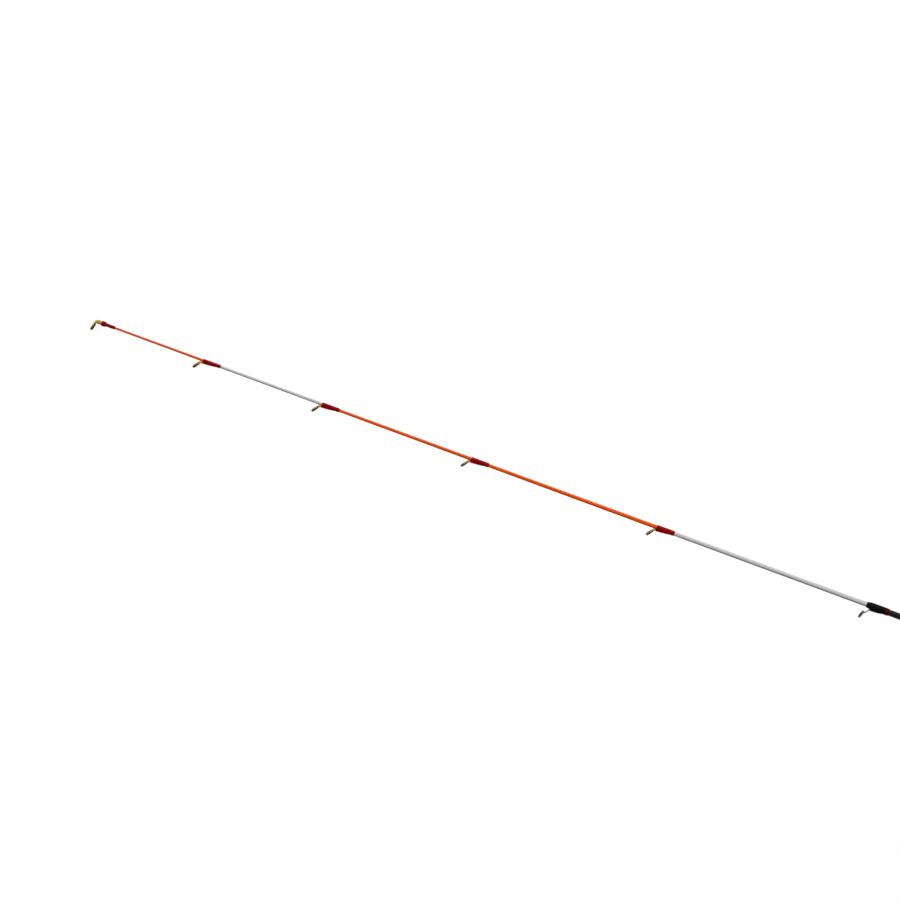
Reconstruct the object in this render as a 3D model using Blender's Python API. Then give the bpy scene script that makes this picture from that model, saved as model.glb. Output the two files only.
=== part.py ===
"""A two-piece boat rod for squid jigs, with a painted solid tip and a screw reel seat.

The rod lies along X. The origin is the centre of the butt cap's end face, the tip points to +X,
and the guides and the reel seat's deck face -Z. All sizes are in metres.
"""

import math
from collections import namedtuple

import bmesh
import bpy
from mathutils import Matrix, Vector

MM = 0.001

# Blank: the tip piece slides over the butt piece, and carries a solid tip in its mouth
ROD_LENGTH = 1830 * MM
SPIGOT_LENGTH = 60 * MM
BUTT_DIAMETER = 10.4 * MM
SPIGOT_DIAMETER = 6.2 * MM
BUTT_WALL = 1.0 * MM
SOCKET_WALL = 0.6 * MM
TUBE_TIP_DIAMETER = 3.5 * MM
SOLID_LENGTH = 471.5 * MM
SOLID_BASE_DIAMETER = 2.7 * MM
SOLID_TIP_DIAMETER = 1.2 * MM
TENON_LENGTH = 48 * MM
TENON_DIAMETER = 2.2 * MM
MOUTH_CHAMFER = 2.0 * MM

# Clearances
FIT = 0.05 * MM
FACE_GAP = 0.1 * MM
RUNNING_GAP = 0.3 * MM

# Handle, from the butt end
CAP_LENGTH = 14 * MM
CAP_DIAMETER = 25 * MM
CAP_FILLET = 4 * MM
CAP_PLUG_LENGTH = 12 * MM
REAR_GRIP_LENGTH = 96 * MM
REAR_GRIP_WAIST_DIAMETER = 18.5 * MM
GRIP_RING_LENGTH = 4 * MM
GRIP_RING_WALL = 2.4 * MM
BARE_BLANK_LENGTH = 122 * MM
MID_GRIP_LENGTH = 60 * MM
GRIP_END_RISE = 1.0 * MM

# Reel seat
ARBOR_LENGTH = 24 * MM
ARBOR_WALL = 1.9 * MM
BARREL_WALL = 3.1 * MM
DECK_WALL = 1.8 * MM
COLLAR_LENGTH = 3 * MM
COLLAR_HEIGHT = 1.6 * MM
FOOT_SHORTEST = 55 * MM
TRAVEL = 15 * MM
POCKET_DEPTH = 11 * MM
POCKET_WIDTH = 12 * MM
POCKET_HEIGHT = 6.0 * MM
HOOD_ROOF = 1.6 * MM
HOOD_WALL = 2.0 * MM
HOOD_BACK = 6 * MM
BELLY_RISE = 1.3 * MM
KEY_WIDTH = 2.4 * MM
KEY_HEIGHT = 0.9 * MM
CUSHION_THIN = 0.5 * MM
CUSHION_THICK = 1.6 * MM
NUT_LENGTH = 11 * MM
NUT_WALL = 2.3 * MM
NUT_FLUTES = 20
NUT_FLUTE_DEPTH = 0.5 * MM
NUT_RING_LENGTH = 3 * MM
BARREL_PAST_NUT = 6 * MM
FOREGRIP_LENGTH = 44 * MM
FOREGRIP_WALL = 2.4 * MM
FOREGRIP_NOSE_WALL = 2.6 * MM
CHECK_LENGTH = 4.5 * MM
CHECK_WALL = 2.4 * MM

# Hook keeper
KEEPER_AHEAD = 24 * MM
KEEPER_BASE_LENGTH = 22 * MM
KEEPER_BASE_WIDTH = 2.4 * MM
KEEPER_BASE_THICKNESS = 0.5 * MM
KEEPER_EAR_THICKNESS = 0.7 * MM
KEEPER_EAR_LENGTH = 2.6 * MM
KEEPER_PIN_DIAMETER = 1.0 * MM
KEEPER_HUB_DIAMETER = 2.2 * MM
KEEPER_HUB_WIDTH = 2.8 * MM
KEEPER_LOOP_LENGTH = 11 * MM
KEEPER_LOOP_WIDTH = 6.2 * MM
KEEPER_WIRE_DIAMETER = 0.9 * MM

# Guides: lengths along the rod are taken from the front edge of each binding
THREAD = 0.34 * MM
THREAD_EDGE = 0.12 * MM
FOOT_ROOM = 0.1 * MM
FOOT_END_WIDTH = 0.6
FOOT_END_THICKNESS = 0.3
SPLICE_COVER = 0.8 * MM
TRIM_LENGTH = 3.0 * MM
RING_PROUD = 0.2 * MM
STRIPPER_TO_FERRULE = 52 * MM
FERRULE_WRAP_LENGTH = 22 * MM
FERRULE_WRAP_THICKNESS = 0.4 * MM
TIP_TUBE_DIAMETER = 2.0 * MM
TIP_TUBE_LENGTH = 4.0 * MM
TIP_TUBE_BOUND = 2.6 * MM
TIP_TUBE_NOSE = 0.9 * MM

# ring and bore are diameters, stand_off is from the blank to the ring's centre, lead is how far the
# centre lies ahead of the binding, and root is how far behind the binding's front the legs rise
Guide = namedtuple(
    "Guide", "name from_tip ring bore band width stand_off lead lean root foot foot_width sheet wrap"
)
TIP_TOP = Guide("tip_top", 5.0 * MM, 3.9 * MM, 2.8 * MM, 0.42 * MM, 1.2 * MM, 2.8 * MM, 3.86 * MM,
                13, 0, 0, 2.0 * MM, 1.5 * MM, 8.4 * MM)
ONE_LEG_FROM_TIP = [66.6 * MM, 139.0 * MM, 229.9 * MM, 342.8 * MM]
ONE_LEG = Guide("guide", 0, 3.9 * MM, 2.8 * MM, 0.42 * MM, 1.2 * MM, 3.05 * MM, 2.62 * MM,
                36, 0, 7.5 * MM, 1.0 * MM, 0.85 * MM, 11.0 * MM)
TWO_LEG = [
    Guide("guide_5", SOLID_LENGTH - SPLICE_COVER, 3.9 * MM, 2.8 * MM, 0.42 * MM, 1.0 * MM, 4.9 * MM,
          0.95 * MM, 19, 3.1 * MM, 6.5 * MM, 1.5 * MM, 0.63 * MM, 10.6 * MM),
    Guide("guide_6", 620 * MM, 5.2 * MM, 3.8 * MM, 0.5 * MM, 1.2 * MM, 7.2 * MM, 1.8 * MM,
          16, 3.6 * MM, 8.5 * MM, 1.6 * MM, 0.6 * MM, 13.5 * MM),
    Guide("guide_7", 790 * MM, 8.8 * MM, 6.8 * MM, 0.65 * MM, 1.5 * MM, 12.0 * MM, 3.4 * MM,
          18, 4.2 * MM, 11.0 * MM, 2.0 * MM, 0.8 * MM, 17.0 * MM),
]
STRIPPER = Guide("stripper", 0, 17.6 * MM, 14.4 * MM, 1.0 * MM, 2.2 * MM, 19.5 * MM, 3.4 * MM,
                 20, 18.0 * MM, 14.0 * MM, 3.0 * MM, 1.1 * MM, 19.0 * MM)

# Places that follow from the sizes
FERRULE_X = (ROD_LENGTH - SPIGOT_LENGTH) / 2
SPIGOT_END_X = FERRULE_X + SPIGOT_LENGTH
SPLICE_X = ROD_LENGTH - SOLID_LENGTH
BLANK_X = CAP_LENGTH + FACE_GAP
REAR_GRIP_END_X = BLANK_X + REAR_GRIP_LENGTH
REAR_RING_END_X = REAR_GRIP_END_X + FACE_GAP + GRIP_RING_LENGTH
MID_RING_X = REAR_RING_END_X + BARE_BLANK_LENGTH
MID_GRIP_X = MID_RING_X + GRIP_RING_LENGTH + FACE_GAP
SEAT_X = MID_GRIP_X + MID_GRIP_LENGTH + FACE_GAP
HOOD_X = SEAT_X + COLLAR_LENGTH + FACE_GAP
POCKET_FLOOR_X = HOOD_X + HOOD_BACK
HOOD_END_X = POCKET_FLOOR_X + POCKET_DEPTH
MOVING_FLOOR_X = POCKET_FLOOR_X + FOOT_SHORTEST + TRAVEL
MOVING_MOUTH_X = MOVING_FLOOR_X - POCKET_DEPTH
MOVING_END_X = MOVING_FLOOR_X + HOOD_BACK
NUT_X = MOVING_END_X + FACE_GAP
NUT_END_X = NUT_X + NUT_LENGTH
BARREL_END_X = NUT_END_X + BARREL_PAST_NUT
FOREGRIP_X = NUT_END_X + NUT_RING_LENGTH + 2 * FACE_GAP
FOREGRIP_END_X = FOREGRIP_X + FOREGRIP_LENGTH
FOREGRIP_FLOOR_X = BARREL_END_X + TRAVEL + 1 * MM
CHECK_X = FOREGRIP_END_X + 1 * MM
CHECK_END_X = CHECK_X + CHECK_LENGTH
KEEPER_X = CHECK_END_X + KEEPER_AHEAD
STRIPPER_X = FERRULE_X - STRIPPER_TO_FERRULE
TIP_TUBE_X = ROD_LENGTH - TIP_TOP.from_tip - TIP_TUBE_BOUND

# How the faceting is done
TUBE_STEPS = 20
SOLID_STEPS = 16
RING_STEPS = 16
WELD = 1e-6
SHARP_ANGLE = math.radians(35)
SIDE = Vector((0, 1, 0))


def taper(x, start, end, first, last):
    """The value at x of a straight taper from first at start to last at end."""
    return first + (last - first) * (x - start) / (end - start)


def butt_radius(x):
    """Outer radius of the butt blank, and of the spigot that goes on with the same taper."""
    return taper(x, BLANK_X, FERRULE_X, BUTT_DIAMETER, SPIGOT_DIAMETER) / 2


def tube_radius(x):
    """Outer radius of the tubular tip blank, short of its chamfered mouth."""
    base = SPIGOT_DIAMETER / 2 + FIT + SOCKET_WALL
    return taper(x, FERRULE_X, SPLICE_X, base, TUBE_TIP_DIAMETER / 2)


def solid_radius(x):
    """Radius of the solid tip."""
    return taper(x, SPLICE_X, ROD_LENGTH, SOLID_BASE_DIAMETER, SOLID_TIP_DIAMETER) / 2


def blank_radius(x):
    """Radius of whatever blank shows at x."""
    if x < FERRULE_X:
        return butt_radius(x)
    if x < SPLICE_X - MOUTH_CHAMFER:
        return tube_radius(x)
    if x < SPLICE_X:
        start = SPLICE_X - MOUTH_CHAMFER
        return taper(x, start, SPLICE_X, tube_radius(start), solid_radius(SPLICE_X))
    return solid_radius(x)


SEAT_BORE = butt_radius(SEAT_X) + ARBOR_WALL
BARREL_RADIUS = SEAT_BORE + BARREL_WALL
DECK_DEPTH = SEAT_BORE + DECK_WALL
HOOD_BORE = BARREL_RADIUS + RUNNING_GAP
HOOD_RADIUS = HOOD_BORE + HOOD_WALL
POCKET_ROOF = DECK_DEPTH + POCKET_HEIGHT
DOME_DEPTH = POCKET_ROOF + HOOD_ROOF
DOME_HALF_WIDTH = POCKET_WIDTH / 2 + HOOD_ROOF


def finish(name, colour, roughness, metallic=0.0):
    """A plain Principled material in a linear colour."""
    material = bpy.data.materials.new(name)
    material.use_nodes = True
    shader = material.node_tree.nodes["Principled BSDF"]
    shader.inputs["Base Color"].default_value = (*colour, 1)
    shader.inputs["Roughness"].default_value = roughness
    shader.inputs["Metallic"].default_value = metallic
    return material


def body_object(name, bm, material, place=(0, 0, 0), lean=0.0, parent=None):
    """Puts a finished bmesh in the scene, leaned about Y, smooth between its sharp edges."""
    bmesh.ops.remove_doubles(bm, verts=bm.verts[:], dist=WELD)
    bmesh.ops.recalc_face_normals(bm, faces=bm.faces[:])
    mesh = bpy.data.meshes.new(name)
    bm.to_mesh(mesh)
    bm.free()
    mesh.shade_smooth()
    mesh.set_sharp_from_angle(angle=SHARP_ANGLE)
    mesh.materials.append(material)
    piece = bpy.data.objects.new(name, mesh)
    bpy.context.scene.collection.objects.link(piece)
    piece.location = place
    piece.rotation_euler = (0, lean, 0)
    if parent:
        piece.parent = parent
        piece.matrix_parent_inverse = Matrix.Translation(-parent.location)
    return piece


def joint_empty(name, place):
    """An empty on a joint's axis, which the pieces that move there hang from."""
    empty = bpy.data.objects.new(name, None)
    bpy.context.scene.collection.objects.link(empty)
    empty.location = place
    return empty


def helper(piece):
    """Marks an object that only cuts or joins another."""
    piece.hide_render = True
    piece.display_type = "WIRE"
    return piece


def combine(piece, other, operation):
    """Joins a helper to a piece, or cuts it from it."""
    step = piece.modifiers.new(other.name, "BOOLEAN")
    step.operation = operation
    step.solver = "EXACT"
    step.object = helper(other)


def turned(outline, steps):
    """A body turned about X from its outline, a closed run of (x, radius)."""
    bm = bmesh.new()
    verts = [bm.verts.new((x, 0, radius)) for x, radius in outline]
    for near, far in zip(verts, verts[1:] + verts[:1]):
        if near.co.z > 0 or far.co.z > 0:
            bm.edges.new((near, far))
    bmesh.ops.spin(bm, geom=bm.verts[:] + bm.edges[:], cent=(0, 0, 0), axis=(1, 0, 0),
                   angle=math.tau, steps=steps, use_merge=True)
    return bm


def turned_piece(name, outline, material, steps=TUBE_STEPS, parent=None):
    """A turned piece on the rod's axis, with its origin at its first point's x."""
    start = outline[0][0]
    local = [(x - start, radius) for x, radius in outline]
    return body_object(name, turned(local, steps), material, (start, 0, 0), parent=parent)


def sleeve(outer, x_start, x_end, radius_inside):
    """Closes an outer outline into a sleeve over a tapered blank, with the fit's clearance."""
    return outer + [(x_end, radius_inside(x_end) + FIT), (x_start, radius_inside(x_start) + FIT)]


def lofted(rings):
    """A skin through rings of as many points each, with flat ends."""
    bm = bmesh.new()
    rows = [[bm.verts.new(point) for point in ring] for ring in rings]
    count = len(rows[0])
    for near, far in zip(rows, rows[1:]):
        for i in range(count):
            j = (i + 1) % count
            bm.faces.new((near[i], near[j], far[j], far[i]))
    bm.faces.new(rows[0])
    bm.faces.new(rows[-1])
    return bm


def bar(name, x_start, x_end, radius, material, parent=None):
    """A solid bar on the rod's axis, with the facets of a turned piece and whole, flat ends."""
    turns = [math.tau * i / TUBE_STEPS for i in range(TUBE_STEPS)]
    rings = [[Vector((x, radius * math.sin(t), radius * math.cos(t))) for t in turns]
             for x in (0, x_end - x_start)]
    return body_object(name, lofted(rings), material, (x_start, 0, 0), parent=parent)


def directions(points):
    """Unit tangents of a path."""
    spans = [(b - a).normalized() for a, b in zip(points, points[1:])]
    return [(a + b).normalized() for a, b in zip(spans[:1] + spans, spans + spans[-1:])]


def strip(points, widths, thicknesses, side):
    """A strip of sheet along a path, with its width along side."""
    rings = []
    for point, along, width, thickness in zip(points, directions(points), widths, thicknesses):
        half = side * width / 2
        up = along.cross(side).normalized() * thickness / 2
        rings.append([point + half + up, point - half + up, point - half - up, point + half - up])
    return lofted(rings)


def wire(points, diameter, across, sides=8):
    """A round wire along a path that lies square to across."""
    rings = []
    for point, along in zip(points, directions(points)):
        out = along.cross(across).normalized()
        turns = [math.tau * i / sides for i in range(sides)]
        rings.append([point + (out * math.cos(t) + across * math.sin(t)) * diameter / 2
                      for t in turns])
    return lofted(rings)


def slab(x, half_width, top, bottom, corner, steps=3):
    """A cross-section at x with a flat top and with rounded lower corners, depths below the axis."""
    points = [Vector((x, half_width, -top))]
    for side in (1, -1):
        for i in range(steps + 1):
            turn = math.radians(90 * i / steps)
            if side < 0:
                turn = math.radians(90) - turn
            points.append(Vector((x, side * (half_width - corner + corner * math.cos(turn)),
                                  -(bottom - corner + corner * math.sin(turn)))))
    points.append(Vector((x, -half_width, -top)))
    return points


def box(name, low, high, material):
    """A helper box between two corners."""
    bm = bmesh.new()
    bmesh.ops.create_cube(bm, size=1)
    for vert in bm.verts:
        vert.co = Vector([low[i] if vert.co[i] < 0 else high[i] for i in range(3)])
    return body_object(name, bm, material)


def bulge(angle):
    """How much of a binding's lift shows at an angle from straight below, from 1 to 0."""
    return ((1 + math.cos(angle)) / 2) ** 2


def foot_lift(radius, width, thickness):
    """How far a binding stands out below the blank to clear the corners of the foot under it."""
    depth = radius + FIT + thickness
    corner = math.hypot(depth, width / 2) + FOOT_ROOM
    return (corner - radius - FIT) / bulge(math.atan2(width / 2, depth))


def binding(name, stations, material, steps=SOLID_STEPS, parent=None):
    """A thread binding, closed round the blank. Each station is (x, radius under it, lift, thread)."""
    loop = [(x, radius + FIT + thread, lift) for x, radius, lift, thread in stations]
    loop += [(x, radius + FIT, lift) for x, radius, lift, thread in reversed(stations)]
    start = stations[0][0]
    bm = bmesh.new()
    rows = []
    for x, radius, lift in loop:
        row = []
        for i in range(steps):
            angle = math.tau * i / steps
            reach = radius + lift * bulge(angle)
            row.append(bm.verts.new((x - start, reach * math.sin(angle), -reach * math.cos(angle))))
        rows.append(row)
    for near, far in zip(rows, rows[1:] + rows[:1]):
        for i in range(steps):
            j = (i + 1) % steps
            bm.faces.new((near[i], near[j], far[j], far[i]))
    return body_object(name, bm, material, (start, 0, 0), parent=parent)


def guide_centre(guide, x):
    """Centre of the guide's ring, for a binding whose front is at x."""
    return Vector((x + guide.lead, 0, -(blank_radius(x) + guide.stand_off)))


def ring_up(guide):
    """The direction in the ring's plane that points from its centre towards the blank."""
    lean = math.radians(guide.lean)
    return Vector((-math.sin(lean), 0, math.cos(lean)))


def holder_radius(guide):
    """Outer radius of the metal band that holds the ceramic ring."""
    return guide.ring / 2 + FIT + guide.band


def band_object(guide, name, centre, material):
    """The metal band of a guide, as a helper that is joined to its legs."""
    inner = guide.ring / 2 + FIT
    outer = holder_radius(guide)
    half = guide.width / 2
    bm = turned([(-half, outer), (half, outer), (half, inner), (-half, inner)], RING_STEPS)
    return body_object(name, bm, material, centre, -math.radians(guide.lean))


def ceramic_ring(guide, name, centre, material, parent):
    """The ceramic ring, with its bore rounded on both sides, a little proud of its band."""
    outer = guide.ring / 2
    bore = guide.bore / 2
    half = guide.width / 2 + RING_PROUD
    crown = (outer - bore) * 0.45
    outline = [(-half, bore + crown), (-half * 0.6, outer), (half * 0.6, outer),
               (half, bore + crown), (half * 0.45, bore), (-half * 0.45, bore)]
    bm = turned(outline, RING_STEPS)
    return body_object(name, bm, material, centre, -math.radians(guide.lean), parent)


def foot_points(guide, start, end):
    """The two ends of the middle line of a guide's foot, which is ground thin towards its far end."""
    return [Vector((x, 0, -(blank_radius(x) + FIT + guide.sheet * share / 2)))
            for x, share in ((start, 1), (end, FOOT_END_THICKNESS))]


def foot_lift_at(guide, x, share):
    """Lift of the binding at x over a foot, at that share of the foot's length."""
    width = guide.foot_width * (1 - (1 - FOOT_END_WIDTH) * share)
    return foot_lift(blank_radius(x), width, guide.sheet * (1 - (1 - FOOT_END_THICKNESS) * share))


def foot_stations(guide, front, root, foot_end, end, last=THREAD_EDGE):
    """Stations of a binding, from its front to its rear, over a foot from root to foot_end.

    A station is added wherever the blank itself has an edge, so that none of it shows through.
    The binding is as thick as last at its rear.
    """
    toward = 1 if end > front else -1
    places = [(front, 0, THREAD * 0.8)]
    if abs(root - front) > 4 * THREAD:
        clear = root - toward * 4 * THREAD
        places = [(front, None, THREAD_EDGE), (clear, None, THREAD), (root - toward * FIT, 0, THREAD)]
    places += [(foot_end, 1, THREAD), (foot_end + toward * 5 * THREAD, None, THREAD),
               (end, None, last)]
    rows = [(x, 0 if share is None else foot_lift_at(guide, x, share), thread)
            for x, share, thread in places]
    stations = rows[:1]
    for near, far in zip(rows, rows[1:]):
        low, high = sorted((near[0], far[0]))
        edges = [x for x in (SPLICE_X - MOUTH_CHAMFER, SPLICE_X) if low < x < high]
        for x in edges[::toward]:
            stations.append((x, taper(x, near[0], far[0], near[1], far[1]),
                             taper(x, near[0], far[0], near[2], far[2])))
        stations.append(far)
    return [(x, blank_radius(x), lift, thread) for x, lift, thread in stations]


def one_leg_frame(guide, x, material, parent):
    """A frame whose single leg runs from the ring's top into a foot behind it."""
    centre = guide_centre(guide, x)
    foot_start, foot_end = foot_points(guide, x, x - guide.foot)
    band = holder_radius(guide) - guide.band / 2
    knee = foot_start + Vector((guide.sheet, 0, -guide.sheet / 4))
    points = [centre + ring_up(guide) * band, knee, foot_start, foot_end]
    local = [point - Vector((x, 0, 0)) for point in points]
    width = guide.foot_width
    bm = strip(local, [width * 1.6, width * 1.1, width, width * FOOT_END_WIDTH],
               [guide.width, guide.sheet * 1.2, guide.sheet, guide.sheet * FOOT_END_THICKNESS], SIDE)
    frame = body_object(guide.name + "_frame", bm, material, (x, 0, 0), parent=parent)
    combine(frame, band_object(guide, guide.name + "_band", centre, material), "UNION")
    return centre


def gusset_reach(guide):
    """How far a two-leg frame runs on as one plate from its foot, out of the binding."""
    return 1.6 * THREAD + 1.8 * guide.sheet


def leg_spread(guide, centre, root, reach):
    """How far from the middle a leg is, after that reach from the root towards the ring."""
    start = guide.foot_width * 0.3
    end = holder_radius(guide) + guide.sheet * 0.15
    return start + (end - start) * reach / (centre - root).length


def side_leg(guide, name, root, centre, side, material):
    """One of the two legs from a foot to the sides of the ring, as a helper."""
    span = (centre - root).length
    start = root + SIDE * side * leg_spread(guide, centre, root, 0)
    end = centre + SIDE * side * leg_spread(guide, centre, root, span)
    along = (end - start).normalized()
    sheet_normal = (centre - root).cross(SIDE).normalized()
    across = along.cross(sheet_normal).normalized()
    bm = strip([start, end], [guide.sheet * 1.3] * 2, [guide.sheet * 0.9] * 2, across)
    return body_object(name, bm, material)


def two_leg_frame(guide, x, root_x, material, parent):
    """A frame whose two legs rise from a foot behind the ring to the ring's sides."""
    centre = guide_centre(guide, x)
    foot_start, foot_end = foot_points(guide, root_x, root_x - guide.foot)
    reach = gusset_reach(guide)
    neck = foot_start + (centre - foot_start).normalized() * reach
    neck_width = 2 * leg_spread(guide, centre, foot_start, reach) + guide.sheet * 0.9
    local = [point - Vector((root_x, 0, 0)) for point in (neck, foot_start, foot_end)]
    width = guide.foot_width
    bm = strip(local, [neck_width, width, width * FOOT_END_WIDTH],
               [guide.sheet, guide.sheet, guide.sheet * FOOT_END_THICKNESS], SIDE)
    frame = body_object(guide.name + "_frame", bm, material, (root_x, 0, 0), parent=parent)
    combine(frame, band_object(guide, guide.name + "_band", centre, material), "UNION")
    for side, word in ((1, "left"), (-1, "right")):
        leg = side_leg(guide, guide.name + "_leg_" + word, foot_start, centre, side, material)
        combine(frame, leg, "UNION")
    return frame, centre


def leg_slot(guide, wrap, root_x, centre, material):
    """Cuts the way through a binding for the plate that the two legs spread from."""
    radius = blank_radius(root_x)
    root = Vector((root_x, 0, -(radius + FIT + guide.sheet / 2)))
    along = (centre - root).normalized()
    depth = foot_lift(radius, guide.foot_width, guide.sheet) + THREAD
    ahead = depth * along.x / -along.z + guide.sheet * 0.6 / -along.z
    reach = gusset_reach(guide)
    half = leg_spread(guide, centre, root, reach) + guide.sheet * 0.5 + FOOT_ROOM
    slot = box(guide.name + "_slot", (root_x - guide.sheet * 0.2, -half, -radius - 6 * depth),
               (root_x + ahead + FOOT_ROOM, half, -radius + THREAD), material)
    combine(wrap, slot, "DIFFERENCE")


def hood(name, x_floor, facing, ring_bore, material, parent=None):
    """A reel seat hood: a ring with a dome below it, whose pocket opens towards facing (1 is +X)."""
    mouth = x_floor + facing * POCKET_DEPTH
    back = x_floor - facing * HOOD_BACK
    low, high = sorted((mouth, back))
    shell = bar(name, low, high, HOOD_RADIUS, material, parent)
    top = DECK_DEPTH * 0.45
    corner = HOOD_ROOF * 1.6
    places = [(mouth, 0), (x_floor + facing * POCKET_DEPTH * 0.2, 0),
              (x_floor - facing * HOOD_BACK * 0.35, 0.3), (back + facing * HOOD_BACK * 0.1, 1)]
    rings = [slab(x, DOME_HALF_WIDTH * (1 - 0.25 * drop), top,
                  DOME_DEPTH + (HOOD_RADIUS - HOOD_WALL / 2 - DOME_DEPTH) * drop, corner)
             for x, drop in places]
    combine(shell, body_object(name + "_dome", lofted(rings), material), "UNION")
    pocket = [slab(x, POCKET_WIDTH / 2, 0, POCKET_ROOF, HOOD_ROOF)
              for x in (x_floor, mouth + facing * HOOD_WALL)]
    combine(shell, body_object(name + "_pocket", lofted(pocket), material), "DIFFERENCE")
    bore = bar(name + "_bore", low - HOOD_WALL, high + HOOD_WALL, ring_bore, material)
    combine(shell, bore, "DIFFERENCE")
    return shell


def cushion(name, x_floor, facing, material, parent=None):
    """The wedge under a hood's roof that the reel's foot is pressed against."""
    gap = FACE_GAP
    half = POCKET_WIDTH / 2 - HOOD_ROOF
    places = [(x_floor + facing * gap, CUSHION_THICK),
              (x_floor + facing * (POCKET_DEPTH - gap), CUSHION_THIN)]
    rings = [[Vector((x, y, -(POCKET_ROOF - gap - lift)))
              for y, lift in ((half, 0), (half, thick), (-half, thick), (-half, 0))]
             for x, thick in places]
    return body_object(name, lofted(rings), material, parent=parent)


for old in list(bpy.data.objects):
    bpy.data.objects.remove(old)

CARBON = finish("carbon", (0.012, 0.012, 0.014), 0.22)
WHITE_PAINT = finish("white_paint", (0.62, 0.62, 0.63), 0.3)
RED_THREAD = finish("red_thread", (0.2, 0.002, 0.008), 0.2)
BLACK_THREAD = finish("black_thread", (0.01, 0.01, 0.011), 0.2)
GOLD = finish("gold_metal", (0.62, 0.42, 0.12), 0.25, 1.0)
STEEL = finish("steel_frame", (0.35, 0.35, 0.36), 0.3, 1.0)
GOLD_CERAMIC = finish("gold_ceramic", (0.3, 0.19, 0.06), 0.15)
DARK_CERAMIC = finish("dark_ceramic", (0.05, 0.05, 0.055), 0.12)
FOAM = finish("grip_foam", (0.02, 0.02, 0.021), 0.85)
RUBBER = finish("cap_rubber", (0.015, 0.015, 0.015), 0.7)
ALUMINIUM = finish("dark_aluminium", (0.16, 0.16, 0.17), 0.3, 1.0)
SEAT_PLASTIC = finish("seat_plastic", (0.018, 0.018, 0.02), 0.4)
CUSHION_PLASTIC = finish("cushion_plastic", (0.03, 0.03, 0.032), 0.55)

TIP_JOINT = joint_empty("tip_section_joint", (FERRULE_X, 0, 0))
HOOD_JOINT = joint_empty("moving_hood_joint", (MOVING_FLOOR_X, 0, 0))
NUT_JOINT = joint_empty("lock_nut_joint", (NUT_X, 0, 0))
KEEPER_DEPTH = (butt_radius(KEEPER_X) + FIT + KEEPER_BASE_THICKNESS + RUNNING_GAP
                + KEEPER_HUB_DIAMETER / 2)
KEEPER_JOINT = joint_empty("keeper_joint", (KEEPER_X, 0, -KEEPER_DEPTH))


def make_blanks():
    """The butt blank with its spigot, the tubular tip blank and the solid tip in its mouth."""
    turned_piece("butt_blank", [
        (BLANK_X, butt_radius(BLANK_X)), (FERRULE_X, butt_radius(FERRULE_X)),
        (SPIGOT_END_X, butt_radius(SPIGOT_END_X)),
        (SPIGOT_END_X, butt_radius(SPIGOT_END_X) - BUTT_WALL),
        (BLANK_X, butt_radius(BLANK_X) - BUTT_WALL)], CARBON)
    socket_end = SPIGOT_END_X + 2 * MM
    tenon_bore = TENON_DIAMETER / 2 + FIT
    tenon_start = SPLICE_X - TENON_LENGTH
    mouth = SPLICE_X - MOUTH_CHAMFER
    turned_piece("tip_tube", [
        (FERRULE_X, tube_radius(FERRULE_X)), (mouth, tube_radius(mouth)),
        (SPLICE_X, max(solid_radius(SPLICE_X), tenon_bore + FIT)), (SPLICE_X, tenon_bore),
        (tenon_start - 2 * MM, tenon_bore), (socket_end, butt_radius(socket_end) + FIT),
        (FERRULE_X, butt_radius(FERRULE_X) + FIT)], CARBON, TUBE_STEPS, TIP_JOINT)
    front = TIP_TUBE_X + TIP_TUBE_LENGTH
    turned_piece("solid_tip", [
        (tenon_start, 0), (tenon_start, TENON_DIAMETER / 2),
        (SPLICE_X + FACE_GAP, TENON_DIAMETER / 2), (SPLICE_X + FACE_GAP, solid_radius(SPLICE_X)),
        (front, solid_radius(front)), (front, 0)], WHITE_PAINT, SOLID_STEPS, TIP_JOINT)


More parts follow.
